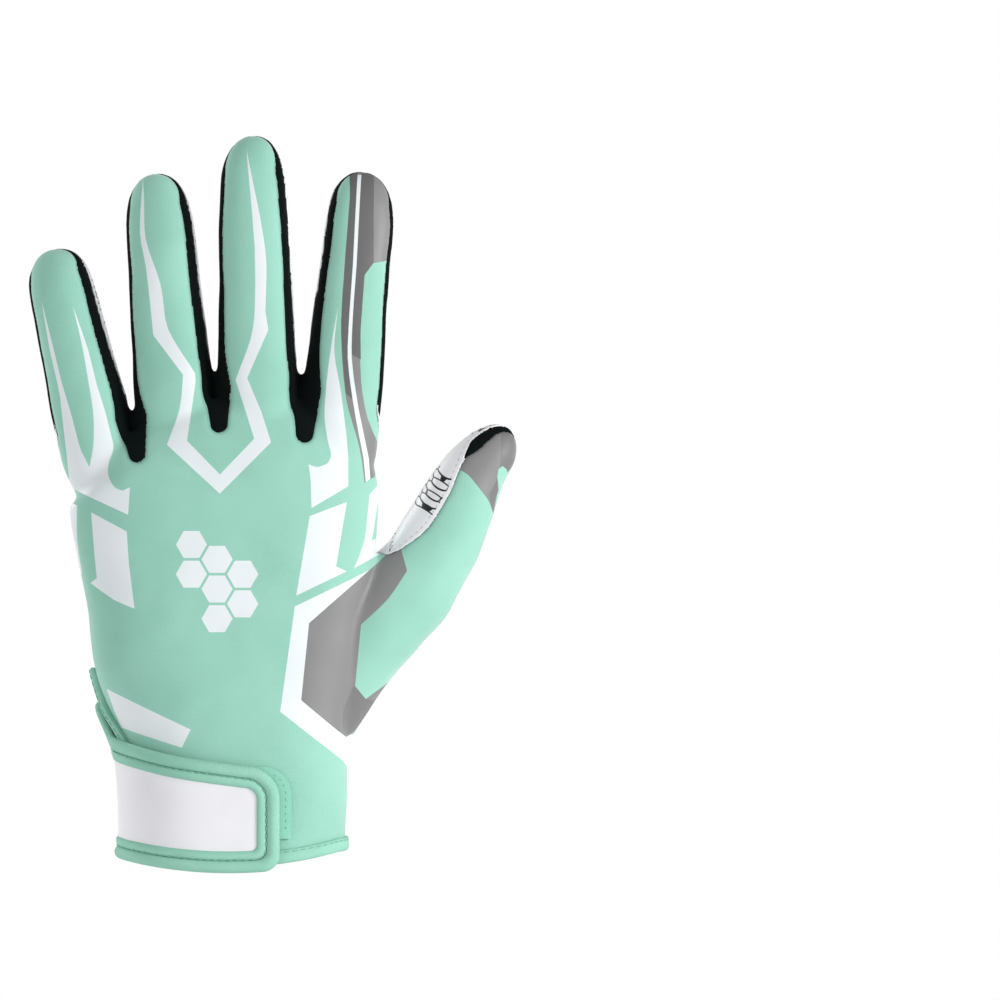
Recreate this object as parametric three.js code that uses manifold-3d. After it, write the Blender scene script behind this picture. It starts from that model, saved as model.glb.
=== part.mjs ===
// Football receiver glove for the left hand, in the shape that the worn glove has.
// Millimetres. Fingers point to +Z, the back of the hand faces -Y, the palm +Y and the thumb +X.
// The origin is the centre of the cuff opening, where the hand goes in.
import * as THREE from "three";
import { mergeVertices } from "three/addons/utils/BufferGeometryUtils.js";
import Module from "manifold-3d";

const wasm = await Module();
wasm.setup();

// Hand of the glove
const PALM_LENGTH = 137; // rim of the cuff to the web between ring and middle finger
const PALM_WIDTH = 93.5; // across the knuckles
const PALM_DEPTH = 31; // palm to back at the knuckles
const WEB_ARCH = 21; // fall of the line of webs 50 mm to either side of its top
const CUFF_WIDTH = 64.6;
const CUFF_DEPTH = 48;
const RIM_DIP = 4; // the rim hangs lower in the middle than at its sides

// Fingers and thumb
const LITTLE_LENGTH = 63.3;
const RING_LENGTH = 78.7;
const MIDDLE_LENGTH = 89.9;
const INDEX_LENGTH = 82.2;
const FINGER_WIDTH = 24.2;
const LITTLE_WIDTH = 23.4;
const FINGER_DEPTH = 20;
const FINGER_CURL = 6; // how far a fingertip bends towards the palm
const THUMB_LENGTH = 106.9; // wrist joint to tip
const THUMB_WIDTH = 30;
const THUMB_DEPTH = 32;

// Cloth and seams
const CLOTH_WALL = 1.2;
const SEAM_GAP = 0.3; // left between pieces that are sewn together
const WEB_DROP = 11; // the black knit reaches this far below the web on the back
const WEB_STRIP = 6.4; // its width there
const WEB_EYE = 3.6; // round end of the knit on the palm side of a web

// Rim tape, vent and strap
const TAPE_PROUD = 0.8; // tape stands proud of the cloth by this
const RIM_TAPE = 4; // height of the tape round the rim
const VENT_TOP = 51.5; // height of the vent's point above the rim
const VENT_WIDTH = 14; // width of the vent half way down
const VENT_TAPE = 3.2;
const LOOP_THICKNESS = 1;
const LOOP_RIGHT = 18.2; // far edge of the loop patch, past the strap's end
const STRAP_HEIGHT = 35.5; // top of the strap above the origin on the little-finger side
const STRAP_END_HEIGHT = 25.5;
const STRAP_REACH = 14.6; // the strap's round end past the middle of the wrist
const STRAP_CORNER = 10; // radius of the round end's upper corner
const STRAP_THICKNESS = 1.6;
const STRAP_TAPE = 6.5; // width of the tape round the strap
const STRAP_TAPE_THICKNESS = 2.6;
const STRAP_OVERHANG = 1.8; // the strap's lower edge hangs below the rim

// Resolution of the lofts
const BODY_SIDES = 26;
const FINGER_SIDES = 14;
const THUMB_SIDES = 16;
const BODY_POWER = 2.6; // superellipse exponents of the sections
const FINGER_POWER = 2.3;
const THUMB_POWER = 2.2;

const FAR = 150; // reach of the cutting solids, past the whole glove
const GRIP = 2; // overlap of cutting solids that are joined to each other
const MERGE = 2e-3; // points closer than this become one
const SIMPLIFY = 0.04; // faces are thinned out where that moves them less

// Sections of the hand from the cuff up. rise is a share of the palm length. width and depth blend
// from the cuff's to the palm's. left, right, thick and back are shares of that width or depth.
const BODY_ROWS = [
  { rise: -0.09, width: 0, depth: 0, left: 0.478, right: 0.522, thick: 1, back: 0, arch: 0 },
  { rise: 0.11, width: 0.04, depth: 0.06, left: 0.473, right: 0.527, thick: 1, back: 0, arch: 0 },
  { rise: 0.23, width: 0.12, depth: 0.24, left: 0.481, right: 0.51, thick: 1, back: 0, arch: 0 },
  { rise: 0.318, width: 0.3, depth: 0.32, left: 0.512, right: 0.494, thick: 1, back: 0, arch: 0 },
  { rise: 0.41, width: 0.5, depth: 0.41, left: 0.518, right: 0.482, thick: 1, back: 0, arch: 0 },
  { rise: 0.525, width: 0.66, depth: 0.59, left: 0.517, right: 0.483, thick: 1, back: -0.01, arch: 0 },
  { rise: 0.642, width: 0.85, depth: 0.79, left: 0.519, right: 0.481, thick: 1, back: -0.03, arch: 0 },
  { rise: 0.752, width: 0.95, depth: 0.94, left: 0.519, right: 0.478, thick: 0.96, back: -0.05, arch: 0.25 },
  { rise: 0.861, width: 1, depth: 1, left: 0.518, right: 0.467, thick: 0.87, back: -0.05, arch: 0.6 },
  { rise: 0.949, width: 1, depth: 1, left: 0.49, right: 0.445, thick: 0.69, back: -0.04, arch: 1 },
  { rise: 1, width: 1, depth: 1, left: 0.43, right: 0.4, thick: 0.4, back: -0.02, arch: 1 },
];
const ARCH_TOP = 6; // x of the top of the line of webs
const ARCH_SPAN = 50;

// Sections of a finger from root to tip. s is a share of its length, wide and deep of its sizes.
const FINGER_ROWS = [
  { s: -0.14, wide: 0.88, deep: 0.96 },
  { s: 0, wide: 1, deep: 1 },
  { s: 0.15, wide: 1, deep: 0.99 },
  { s: 0.4, wide: 0.93, deep: 0.96 },
  { s: 0.6, wide: 0.89, deep: 0.93 },
  { s: 0.8, wide: 0.84, deep: 0.86 },
  { s: 0.9, wide: 0.73, deep: 0.74 },
  { s: 0.96, wide: 0.5, deep: 0.52 },
  { s: 0.99, wide: 0.25, deep: 0.28 },
];

// Edges of the knit strip on a finger's side, from the middle of the section towards the palm,
// as shares of half the finger's depth.
const STRIP_ROWS = [
  { s: -0.1, front: -0.55, back: 0.35 },
  { s: 0.28, front: -0.55, back: 0.05 },
  { s: 0.57, front: -0.55, back: -0.12 },
  { s: 0.86, front: -0.48, back: -0.1 },
  { s: 0.945, front: -0.2, back: 0.1 },
  { s: 1.06, front: 0.1, back: 0.3 },
];

// The four fingers. rootX is a share of the palm's width, rootZ of its length. lean, towards the
// thumb, and roll, which turns the back of the finger towards the thumb, are in degrees.
const FINGERS = {
  little: { rootX: -0.4235, rootZ: 0.8686, sway: 0.1, lean: -13.2, roll: -13.5, length: LITTLE_LENGTH },
  ring: { rootX: -0.173, rootZ: 0.9124, sway: 0, lean: -5.17, roll: -10, length: RING_LENGTH },
  middle: { rootX: 0.0877, rootZ: 0.9124, sway: -0.1, lean: -1.23, roll: -6.5, length: MIDDLE_LENGTH },
  index: { rootX: 0.338, rootZ: 0.8905, sway: -0.05, lean: 5.77, roll: 9.5, length: INDEX_LENGTH },
};

// Sections of the thumb from the wrist joint to the tip. s is a share of its length, wide and shift,
// away from the palm, of its width, deep and sway, towards the palm side, of its depth.
const THUMB_ROOT = { x: 0.257, z: 0.277, lean: 31.9 };
const THUMB_ROWS = [
  { s: 0, wide: 0.867, deep: 0.85, shift: -0.023, sway: 0.125 },
  { s: 0.19, wide: 0.967, deep: 0.94, shift: -0.067, sway: 0.17 },
  { s: 0.34, wide: 1, deep: 1, shift: 0, sway: 0.2 },
  { s: 0.44, wide: 1, deep: 0.97, shift: 0.077, sway: 0.23 },
  { s: 0.55, wide: 0.873, deep: 0.86, shift: 0.123, sway: 0.27 },
  { s: 0.63, wide: 0.85, deep: 0.77, shift: 0.112, sway: 0.29 },
  { s: 0.76, wide: 0.74, deep: 0.68, shift: 0.07, sway: 0.32 },
  { s: 0.85, wide: 0.63, deep: 0.61, shift: 0.048, sway: 0.34 },
  { s: 0.93, wide: 0.52, deep: 0.51, shift: 0.077, sway: 0.36 },
  { s: 0.975, wide: 0.34, deep: 0.36, shift: 0.09, sway: 0.37 },
];

// Edge of the jersey on the thumb: back is its place on the back-of-hand side and palm on the palm
// side, as shares of half the section's width away from the palm of the hand.
const THUMB_EDGE_ROWS = [
  { s: 0.3, back: -0.97, palm: 0.75 },
  { s: 0.46, back: -0.95, palm: 0.78 },
  { s: 0.56, back: -0.64, palm: 0.88 },
  { s: 0.65, back: -0.38, palm: 0.9 },
  { s: 0.74, back: -0.32, palm: 0.88 },
  { s: 0.86, back: -0.5, palm: 0.93 },
  { s: 0.9, back: -0.38, palm: 0.96 },
  { s: 0.96, back: -0.36, palm: 0.97 },
];
// The knit gusset lies between that edge and this one, from its ends to the tip.
const GUSSET_EDGE_ROWS = [
  { s: 0.74, back: -0.34, palm: 0.86 },
  { s: 0.86, back: -0.56, palm: 0.8 },
  { s: 0.92, back: -0.8, palm: 0.78 },
  { s: 0.96, back: -0.82, palm: 0.78 },
];
const GUSSET_BACK_START = 0.855; // where it starts on the back, as a share of the thumb
const GUSSET_PALM_START = 0.75;

// Height of the side seams above the middle plane, from the rim up. rise is a share of the palm
// length, little and thumb are shares of half the cuff's depth on either side of the hand.
const SIDE_SEAM_ROWS = [
  { rise: -0.3, little: 0.17, thumb: 0.37 },
  { rise: 0.29, little: 0.17, thumb: 0.4 },
  { rise: 0.365, little: 0.17, thumb: 0.53 },
  { rise: 0.47, little: 0.13, thumb: 0.64 },
  { rise: 0.66, little: 0.05, thumb: 0.2 },
  { rise: 0.8, little: -0.02, thumb: -0.17 },
  { rise: 1, little: -0.04, thumb: -0.2 },
];

const SIDE_SEAM_ENDS = { little: -0.6, thumb: 0.65 }; // x of the rows' ends, shares of the palm width

// Seam of the thumb on the palm side. s is a share of the thumb's length, across of its width.
const THUMB_SEAM = {
  web: { s: 0.53, across: -0.42 },
  middle: { s: 0.37, across: -0.1 },
  edge: { s: 0.3, across: 0.45 },
};
const THUMB_ZONE_START = { s: 0.36, across: -0.35 }; // above it the thumb's own seams rule

// Edges of the vent from its middle down. rise is a share of its height, back and palm of its width.
const VENT_ROWS = [
  { rise: 0.54, back: -0.8, palm: 0.2 },
  { rise: -0.6, back: -1, palm: 0.2 },
];
const VENT_MIDDLE = 0.021; // y of its point, as a share of the cuff's depth
const VENT_POINT = 1.6; // the tape reaches this many of its widths past the point

const FRONT_START = -0.03; // the jersey's edge on a finger starts here, as a share of its length
const LITTLE_STRIP_START = 0.114; // so do the knit strips on the outer sides of the hand
const INDEX_STRIP_START = 0.1;
const WRIST_ROWS = 6; // so many of the hand's sections lie round the wrist

const RIM_STEPS = 10; // corners of the rim's curve
const STRAP_STEPS = [-0.5, -0.3, -0.1, 0.05]; // and of the strap's lower edge, shares of the cuff width
const STRAP_LOW_CORNER = 0.5; // radius of the round end's lower corner, as a share of the upper one's
const STRAP_ROOT = 0.105; // y where the strap starts round the side, as a share of the cuff's depth
const LOOP_LEFT = -0.33; // hidden edge of the loop patch, as a share of the cuff's width
const LOOP_SHOWS = 1; // the loop patch reaches above the strap by this

const MINT = 0xa2d8c6;
const MINT_TAPE = 0x91ccb7;
const WHITE = 0xefefef;
const KNIT = 0x14191a;

// Value of a column at a place in a table, straight between its rows.
function lookUp(rows, key, place, column) {
  const last = rows.length - 1;
  if (place <= rows[0][key]) return rows[0][column];
  if (place >= rows[last][key]) return rows[last][column];
  const upper = rows.findIndex((row) => row[key] >= place);
  const low = rows[upper - 1];
  const high = rows[upper];
  const share = (place - low[key]) / (high[key] - low[key]);
  return THREE.MathUtils.lerp(low[column], high[column], share);
}

// Closed solid through rings of points. Each ring runs anticlockwise seen from the ring after it and
// is symmetric about the line through its first point. tip closes the end in a point.
function loft(rings, tip) {
  const sides = rings[0].length;
  const points = rings.flat();
  const faces = [];
  for (let r = 0; r + 1 < rings.length; r++) {
    for (let i = 0; i < sides; i++) {
      const a = r * sides + i;
      const b = r * sides + ((i + 1) % sides);
      faces.push(a, b, b + sides, a, b + sides, a + sides);
    }
  }
  faces.push(...capFaces(0, sides).reverse());
  const lastRing = (rings.length - 1) * sides;
  if (tip) {
    points.push(tip);
    for (let i = 0; i < sides; i++) {
      faces.push(lastRing + i, lastRing + ((i + 1) % sides), points.length - 1);
    }
  } else {
    faces.push(...capFaces(lastRing, sides));
  }
  const geometry = new THREE.BufferGeometry().setFromPoints(points);
  geometry.setIndex(faces);
  return solidOf(geometry);
}

// Rungs across a ring between points that mirror each other, so that an arched end stays arched.
function capFaces(first, sides) {
  const faces = [];
  for (let i = 0; i < sides / 2; i++) {
    const a = first + i;
    const b = first + i + 1;
    const c = first + sides - i - 1;
    const d = first + ((sides - i) % sides);
    if (b !== c) faces.push(a, b, c);
    if (a !== d) faces.push(a, c, d);
  }
  return faces;
}

// Manifold solid of a closed geometry.
function solidOf(geometry) {
  geometry.deleteAttribute("normal");
  geometry.deleteAttribute("uv");
  const merged = mergeVertices(geometry, 1e-4);
  return new wasm.Manifold(
    new wasm.Mesh({
      numProp: 3,
      vertProperties: new Float32Array(merged.attributes.position.array),
      triVerts: new Uint32Array(merged.index.array),
    }),
  );
}

// Prism through the whole depth of the glove over an outline of [x, z] points.
function prismY(outline, low = -FAR, high = FAR) {
  const shape = new THREE.Shape(outline.map(([x, z]) => new THREE.Vector2(x, z)));
  const geometry = new THREE.ExtrudeGeometry(shape, { depth: high - low, bevelEnabled: false });
  geometry.rotateX(Math.PI / 2);
  geometry.translate(0, high, 0);
  return solidOf(geometry);
}

// Prism across the glove over an outline of [y, z] points.
function prismX(outline, low, high) {
  const shape = new THREE.Shape(outline.map(([y, z]) => new THREE.Vector2(y, z)));
  const geometry = new THREE.ExtrudeGeometry(shape, { depth: high - low, bevelEnabled: false });
  geometry.applyMatrix4(new THREE.Matrix4().set(0, 0, 1, 0, 1, 0, 0, 0, 0, 1, 0, 0, 0, 0, 0, 1));
  geometry.translate(low, 0, 0);
  return solidOf(geometry);
}

function joined(solids) {
  return solids.reduce((sum, solid) => sum.add(solid));
}

// Ring of a superellipse about centre, in the plane of the unit vectors across and deep.
function sectionRing(centre, across, deep, halfWidth, halfDepth, sides, power) {
  return Array.from({ length: sides }, (_, i) => {
    const angle = (2 * Math.PI * i) / sides;
    const c = Math.cos(angle);
    const s = Math.sin(angle);
    const u = halfWidth * Math.sign(c) * Math.abs(c) ** (2 / power);
    const v = halfDepth * Math.sign(s) * Math.abs(s) ** (2 / power);
    return centre.clone().addScaledVector(across, u).addScaledVector(deep, v);
  });
}

// Point at u across and v deep in a section.
function inSection(section, u, v) {
  return section.centre.clone().addScaledVector(section.across, u).addScaledVector(section.deep, v);
}

// Hand without fingers

function archFall(x) {
  return WEB_ARCH * ((x - ARCH_TOP) / ARCH_SPAN) ** 2;
}

// Section of the hand at one row, grown by offset, or shrunk where that is negative.
function bodyRing(row, offset) {
  const width = THREE.MathUtils.lerp(CUFF_WIDTH, PALM_WIDTH, row.width);
  const depth = THREE.MathUtils.lerp(CUFF_DEPTH, PALM_DEPTH, row.depth);
  const left = -row.left * width - offset;
  const right = row.right * width + offset;
  const centre = new THREE.Vector3((left + right) / 2, row.back * depth, row.rise * PALM_LENGTH);
  const halfDepth = (row.thick * depth) / 2 + offset;
  const across = new THREE.Vector3(1, 0, 0);
  const deep = new THREE.Vector3(0, 1, 0);
  const ring = sectionRing(
    centre, across, deep, (right - left) / 2, halfDepth, BODY_SIDES, BODY_POWER,
  );
  for (const point of ring) point.z += row.arch * (offset - archFall(point.x));
  return ring;
}

function bodyLoft(offset) {
  return loft(BODY_ROWS.map((row) => bodyRing(row, offset)));
}

// The lower rows alone, for what lies round the wrist.
function wristLoft(offset) {
  return loft(BODY_ROWS.slice(0, WRIST_ROWS).map((row) => bodyRing(row, offset)));
}

// Solid between two offsets from the cloth round the wrist.
function wristLayer(inner, outer) {
  return wristLoft(outer).subtract(wristLoft(inner));
}

// Fingers

// Axis of a finger at a share s of its length, and its directions there.
function fingerSection(finger, s) {
  const lean = THREE.MathUtils.degToRad(finger.lean);
  const roll = THREE.MathUtils.degToRad(finger.roll);
  const along = new THREE.Vector3(Math.sin(lean), 0, Math.cos(lean));
  const level = new THREE.Vector3(Math.cos(lean), 0, -Math.sin(lean));
  const palmward = new THREE.Vector3(0, 1, 0);
  const centre = new THREE.Vector3(
    finger.rootX * PALM_WIDTH, finger.sway * FINGER_DEPTH, finger.rootZ * PALM_LENGTH,
  );
  centre.addScaledVector(along, s * finger.length);
  centre.y += FINGER_CURL * Math.max(s, 0) ** 2;
  const across = level.clone().multiplyScalar(Math.cos(roll));
  across.addScaledVector(palmward, Math.sin(roll));
  const deep = palmward.clone().multiplyScalar(Math.cos(roll));
  deep.addScaledVector(level, -Math.sin(roll));
  return { centre, across, deep, along };
}

function fingerWidth(finger) {
  return finger === FINGERS.little ? LITTLE_WIDTH : FINGER_WIDTH;
}

function fingerLoft(finger, offset) {
  const lengthShare = 1 + offset / finger.length;
  const rings = FINGER_ROWS.map((row) => {
    const section = fingerSection(finger, row.s * lengthShare);
    const halfWidth = (row.wide * fingerWidth(finger)) / 2 + offset;
    const halfDepth = (row.deep * FINGER_DEPTH) / 2 + offset;
    return sectionRing(
      section.centre, section.across, section.deep, halfWidth, halfDepth, FINGER_SIDES, FINGER_POWER,
    );
  });
  return loft(rings, fingerSection(finger, lengthShare).centre);
}

// Block along a finger. The functions of s give its edges across and towards the palm.
function fingerBlock(finger, stations, uLow, uHigh, vLow, vHigh) {
  const rings = stations.map((s) => {
    const section = fingerSection(finger, s);
    return [
      inSection(section, uHigh(s), vLow(s)),
      inSection(section, uHigh(s), vHigh(s)),
      inSection(section, uLow(s), vHigh(s)),
      inSection(section, uLow(s), vLow(s)),
    ];
  });
  return loft(rings);
}

function fingerReach(finger) {
  return fingerWidth(finger) / 2 + 1;
}

function stripEdge(s, column) {
  return (lookUp(STRIP_ROWS, "s", s, column) * FINGER_DEPTH) / 2;
}

const STRIP_STATIONS = STRIP_ROWS.map((row) => row.s);

// Half of a finger's knit strip, grown by grow: side is 1 towards the thumb and -1 away from it.
function halfStrip(finger, side, grow, start = STRIP_STATIONS[0]) {
  const stations = [start, ...STRIP_STATIONS.filter((s) => s > start)];
  stations[0] -= grow / finger.length;
  const near = side * (SEAM_GAP / 2 - grow);
  const far = side * fingerReach(finger);
  return fingerBlock(
    finger,
    stations,
    () => Math.min(near, far),
    () => Math.max(near, far),
    (s) => stripEdge(s, "front") - grow,
    (s) => stripEdge(s, "back") + grow,
  );
}

// The jersey's side of a finger.
function fingerFront(finger, grow) {
  const stations = [FRONT_START, ...STRIP_STATIONS.slice(1)];
  const reach = fingerReach(finger);
  return fingerBlock(
    finger, stations, () => -reach, () => reach, () => -FAR / 3, (s) => stripEdge(s, "front") + grow,
  );
}

// Outline of a bar with a round lower end, from point along a direction, as [x, z] points.
function barOutline(x, z, direction, halfWidth, length) {
  const lean = Math.atan2(direction.x, direction.z);
  const local = [[halfWidth, length], [-halfWidth, length]];
  const steps = 8;
  for (let i = 0; i <= steps; i++) {
    const angle = Math.PI + (Math.PI * i) / steps;
    local.push([halfWidth * Math.cos(angle), halfWidth * Math.sin(angle)]);
  }
  return local.map(([u, w]) => [
    x + u * Math.cos(lean) + w * Math.sin(lean),
    z - u * Math.sin(lean) + w * Math.cos(lean),
  ]);
}

// Knit in the web between two fingers: a bar down the back and a small eye on the palm.
function webKnit(fingerA, fingerB, grow) {
  const a = fingerSection(fingerA, 0);
  const b = fingerSection(fingerB, 0);
  const direction = a.along.clone().add(b.along).normalize();
  const edgeA = inSection(a, fingerWidth(fingerA) / 2, 0);
  const edgeB = inSection(b, -fingerWidth(fingerB) / 2, 0);
  const root = edgeA.add(edgeB).multiplyScalar(0.5);
  const webZ = PALM_LENGTH - archFall(root.x);
  const x = root.x + (direction.x / direction.z) * (webZ - root.z);
  const bar = (drop, halfWidth, low, high) => {
    const below = drop - halfWidth;
    const outline = barOutline(
      x - direction.x * below, webZ - direction.z * below, direction, halfWidth + grow, below + WEB_DROP,
    );
    return prismY(outline, low, high);
  };
  const back = bar(WEB_DROP, WEB_STRIP / 2, -FAR / 3, 0);
  const palm = bar(WEB_EYE / 2, WEB_EYE / 2, -GRIP, FAR / 3);
  return back.add(palm);
}

// Thumb

function thumbSection(s) {
  const lean = THREE.MathUtils.degToRad(THUMB_ROOT.lean);
  const along = new THREE.Vector3(Math.sin(lean), 0, Math.cos(lean));
  const across = new THREE.Vector3(Math.cos(lean), 0, -Math.sin(lean));
  const deep = new THREE.Vector3(0, 1, 0);
  const centre = new THREE.Vector3(THUMB_ROOT.x * PALM_WIDTH, 0, THUMB_ROOT.z * PALM_LENGTH);
  centre.addScaledVector(along, s * THUMB_LENGTH);
  centre.addScaledVector(across, lookUp(THUMB_ROWS, "s", s, "shift") * THUMB_WIDTH);
  centre.addScaledVector(deep, lookUp(THUMB_ROWS, "s", s, "sway") * THUMB_DEPTH);
  return { centre, across, deep, along };
}

// Point of the thumb's middle plane at a place { s, across }.
function thumbPoint({ s, across }) {
  return inSection(thumbSection(s), across * THUMB_WIDTH, 0);
}

function thumbLoft(offset) {
  const lengthShare = 1 + offset / THUMB_LENGTH;
  const rings = THUMB_ROWS.map((row) => {
    const section = thumbSection(row.s * lengthShare);
    const halfWidth = (row.wide * THUMB_WIDTH) / 2 + offset;
    const halfDepth = (row.deep * THUMB_DEPTH) / 2 + offset;
    return sectionRing(
      section.centre, section.across, section.deep, halfWidth, halfDepth, THUMB_SIDES, THUMB_POWER,
    );
  });
  return loft(rings, thumbSection(lengthShare).centre);
}

// Line across the thumb's section at s through the two seams of a table of edges: its middle, its
// direction away from the palm of the hand and its direction towards the palm side of the thumb.
function thumbLine(rows, s) {
  const section = thumbSection(s);
  const last = rows[rows.length - 1].s;
  const halfWidth = (lookUp(THUMB_ROWS, "s", Math.min(s, last), "wide") * THUMB_WIDTH) / 2;
  const halfDepth = (lookUp(THUMB_ROWS, "s", Math.min(s, last), "deep") * THUMB_DEPTH) / 2;
  const onSkin = (share, side) => {
    const deepShare = (1 - Math.abs(share) ** THUMB_POWER) ** (1 / THUMB_POWER);
    return inSection(section, share * halfWidth, side * deepShare * halfDepth);
  };
  const back = onSkin(lookUp(rows, "s", s, "back"), -1);
  const palm = onSkin(lookUp(rows, "s", s, "palm"), 1);
  const across = palm.clone().sub(back).normalize();
  const deep = section.along.clone().cross(across);
  return { centre: back.add(palm).multiplyScalar(0.5), across, deep };
}

// Block along the thumb between two tables of edges, or from FAR in front of the first one.
function thumbBlock(stations, uLow, uHigh, lowRows, highRows, grow) {
  const rings = stations.map((s) => {
    const high = thumbLine(highRows, s);
    const low = lowRows ? thumbLine(lowRows, s) : high;
    const lowV = lowRows ? -grow : -FAR / 3;
    return [
      inSection(low, uHigh, lowV),
      inSection(high, uHigh, grow),
      inSection(high, uLow, grow),
      inSection(low, uLow, lowV),
    ];
  });
  return loft(rings);
}

const THUMB_REACH = THUMB_WIDTH * 0.75;
const TIP_STATIONS = [0.9, 0.92, 0.96, 1.06];

function thumbFront(grow) {
  const stations = [0.3, 0.46, 0.56, 0.65, 0.74, 0.86, ...TIP_STATIONS];
  return thumbBlock(stations, -THUMB_REACH, THUMB_REACH, null, THUMB_EDGE_ROWS, grow);
}

function thumbGusset(grow) {
  const past = grow / THUMB_LENGTH;
  const middle = GRIP / 2;
  const onBack = [GUSSET_BACK_START - past, ...TIP_STATIONS];
  const onPalm = [GUSSET_PALM_START - past, 0.86, ...TIP_STATIONS];
  return thumbBlock(onBack, -THUMB_REACH, middle, THUMB_EDGE_ROWS, GUSSET_EDGE_ROWS, grow).add(
    thumbBlock(onPalm, -middle, THUMB_REACH, THUMB_EDGE_ROWS, GUSSET_EDGE_ROWS, grow),
  );
}

// Outline, seen from the back, of the region where the thumb's own seams rule.
function thumbZone(grow) {
  const start = thumbPoint(THUMB_ZONE_START);
  const end = thumbPoint({ s: THUMB_ZONE_START.s, across: 1 });
  const crotch = thumbPoint(THUMB_SEAM.web);
  return [
    [start.x - grow, start.z - grow],
    [end.x, end.z - grow],
    [end.x + FAR, end.z - grow],
    [end.x + FAR, PALM_LENGTH + FAR / 3],
    [crotch.x - grow, PALM_LENGTH + FAR / 3],
    [crotch.x - grow, crotch.z],
  ];
}

// Outline of the part of the thumb whose palm side is the thumb's own front panel.
function thumbPanelOutline(grow) {
  const web = thumbPoint(THUMB_SEAM.web);
  const seam = thumbPoint(THUMB_SEAM.middle);
  const edge = thumbPoint(THUMB_SEAM.edge);
  return [
    [web.x - grow, web.z],
    [seam.x - grow, seam.z - grow],
    [edge.x, edge.z - grow],
    [edge.x + FAR, edge.z - grow],
    [edge.x + FAR, PALM_LENGTH + FAR / 3],
    [web.x - grow, PALM_LENGTH + FAR / 3],
  ];
}

// Shell

const fingers = Object.values(FINGERS);

// Everything of the hand grown by offset from the outer face of the cloth.
function handSolid(offset) {
  return joined([bodyLoft(offset), thumbLoft(offset), ...fingers.map((f) => fingerLoft(f, offset))]);
}

function rimHeight(x) {
  return -RIM_DIP * (1 - (x / (CUFF_WIDTH / 2)) ** 2);
}

// Outline of all that lies above the rim raised by lift.
function aboveRim(lift) {
  const outline = Array.from({ length: RIM_STEPS + 1 }, (_, i) => {
    const x = CUFF_WIDTH * (i / RIM_STEPS - 0.5);
    return [x, rimHeight(x) + lift];
  });
  return [[-FAR, lift], ...outline, [FAR, lift], [FAR, 2 * FAR], [-FAR, 2 * FAR]];
}

// Region of the jersey on the hand below the fingers' roots.
function bodyFront(grow) {
  const rings = SIDE_SEAM_ROWS.map((row) => {
    const z = row.rise * PALM_LENGTH;
    const little = (row.little * CUFF_DEPTH) / 2 + grow;
    const thumb = (row.thumb * CUFF_DEPTH) / 2 + grow;
    const left = SIDE_SEAM_ENDS.little * PALM_WIDTH;
    const right = SIDE_SEAM_ENDS.thumb * PALM_WIDTH;
    const front = -FAR / 3;
    return [
      new THREE.Vector3(right, front, z),
      new THREE.Vector3(right, thumb, z),
      new THREE.Vector3(left, little, z),
      new THREE.Vector3(left, front, z),
    ];
  });
  const knuckles = fingers.map((finger) => {
    const { centre } = fingerSection(finger, 0);
    return [centre.x, centre.z];
  });
  const leftEnd = inSection(fingerSection(FINGERS.little, 0), -PALM_WIDTH / 4, 0);
  const rightEnd = inSection(fingerSection(FINGERS.index, 0), PALM_WIDTH / 4, 0);
  const outline = [
    [-FAR, leftEnd.z], [leftEnd.x, leftEnd.z], ...knuckles, [rightEnd.x, rightEnd.z], [FAR, rightEnd.z],
    [FAR, -FAR / 3], [-FAR, -FAR / 3],
  ];
  return loft(rings).intersect(prismY(outline.reverse()));
}

// Region of the jersey, with its edges moved towards the palm by grow.
function jerseyRegion(grow) {
  const zone = prismY(thumbZone(0));
  const hand = joined([bodyFront(grow), ...fingers.map((finger) => fingerFront(finger, grow))]);
  const thumb = thumbFront(grow).intersect(prismY(thumbZone(grow)));
  return hand.subtract(zone).add(thumb);
}

// Regions of the knit pieces, each grown by grow.
function knitRegions(grow) {
  const { little, ring, middle, index } = FINGERS;
  const between = (a, b) => joined([halfStrip(a, 1, grow), halfStrip(b, -1, grow), webKnit(a, b, grow)]);
  return {
    fourchette_little_outer: halfStrip(little, -1, grow, LITTLE_STRIP_START),
    fourchette_little_ring: between(little, ring),
    fourchette_ring_middle: between(ring, middle),
    fourchette_middle_index: between(middle, index),
    fourchette_index_outer: halfStrip(index, 1, grow, INDEX_STRIP_START),
    fourchette_thumb_tip: thumbGusset(grow),
  };
}

// Vent and strap

// Outline of the vent, widened by grow, as [y, z] points on the little-finger side.
function ventOutline(grow) {
  const middle = VENT_MIDDLE * CUFF_DEPTH;
  const slope = VENT_WIDTH / VENT_TOP;
  const widen = grow * Math.hypot(1, slope / 2);
  const back = VENT_ROWS.map((row) => [middle + row.back * VENT_WIDTH - widen, row.rise * VENT_TOP]);
  const palm = VENT_ROWS.map((row) => [middle + row.palm * VENT_WIDTH + widen, row.rise * VENT_TOP]);
  return [[middle, VENT_TOP + VENT_POINT * grow], ...back, ...palm.reverse()];
}

const VENT_SIDE = -CUFF_WIDTH / 4; // the vent's cutters stay on the little-finger side of this

function ventPrism(grow) {
  return prismX(ventOutline(grow), -PALM_WIDTH, VENT_SIDE);
}

// The palm side of the vent below the strap's top has no tape, because the strap is sewn on there.
function sewnSide(grow) {
  const outline = [
    [0, -FAR / 3], [FAR / 3, -FAR / 3], [FAR / 3, STRAP_HEIGHT - grow], [0, STRAP_HEIGHT - grow],
  ];
  return prismX(outline, -PALM_WIDTH, VENT_SIDE);
}

const STRAP_SLOPE = (STRAP_HEIGHT - STRAP_END_HEIGHT) / (CUFF_WIDTH / 2 + STRAP_REACH);

function strapTop(x) {
  return STRAP_END_HEIGHT + STRAP_SLOPE * (STRAP_REACH - x);
}

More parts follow.
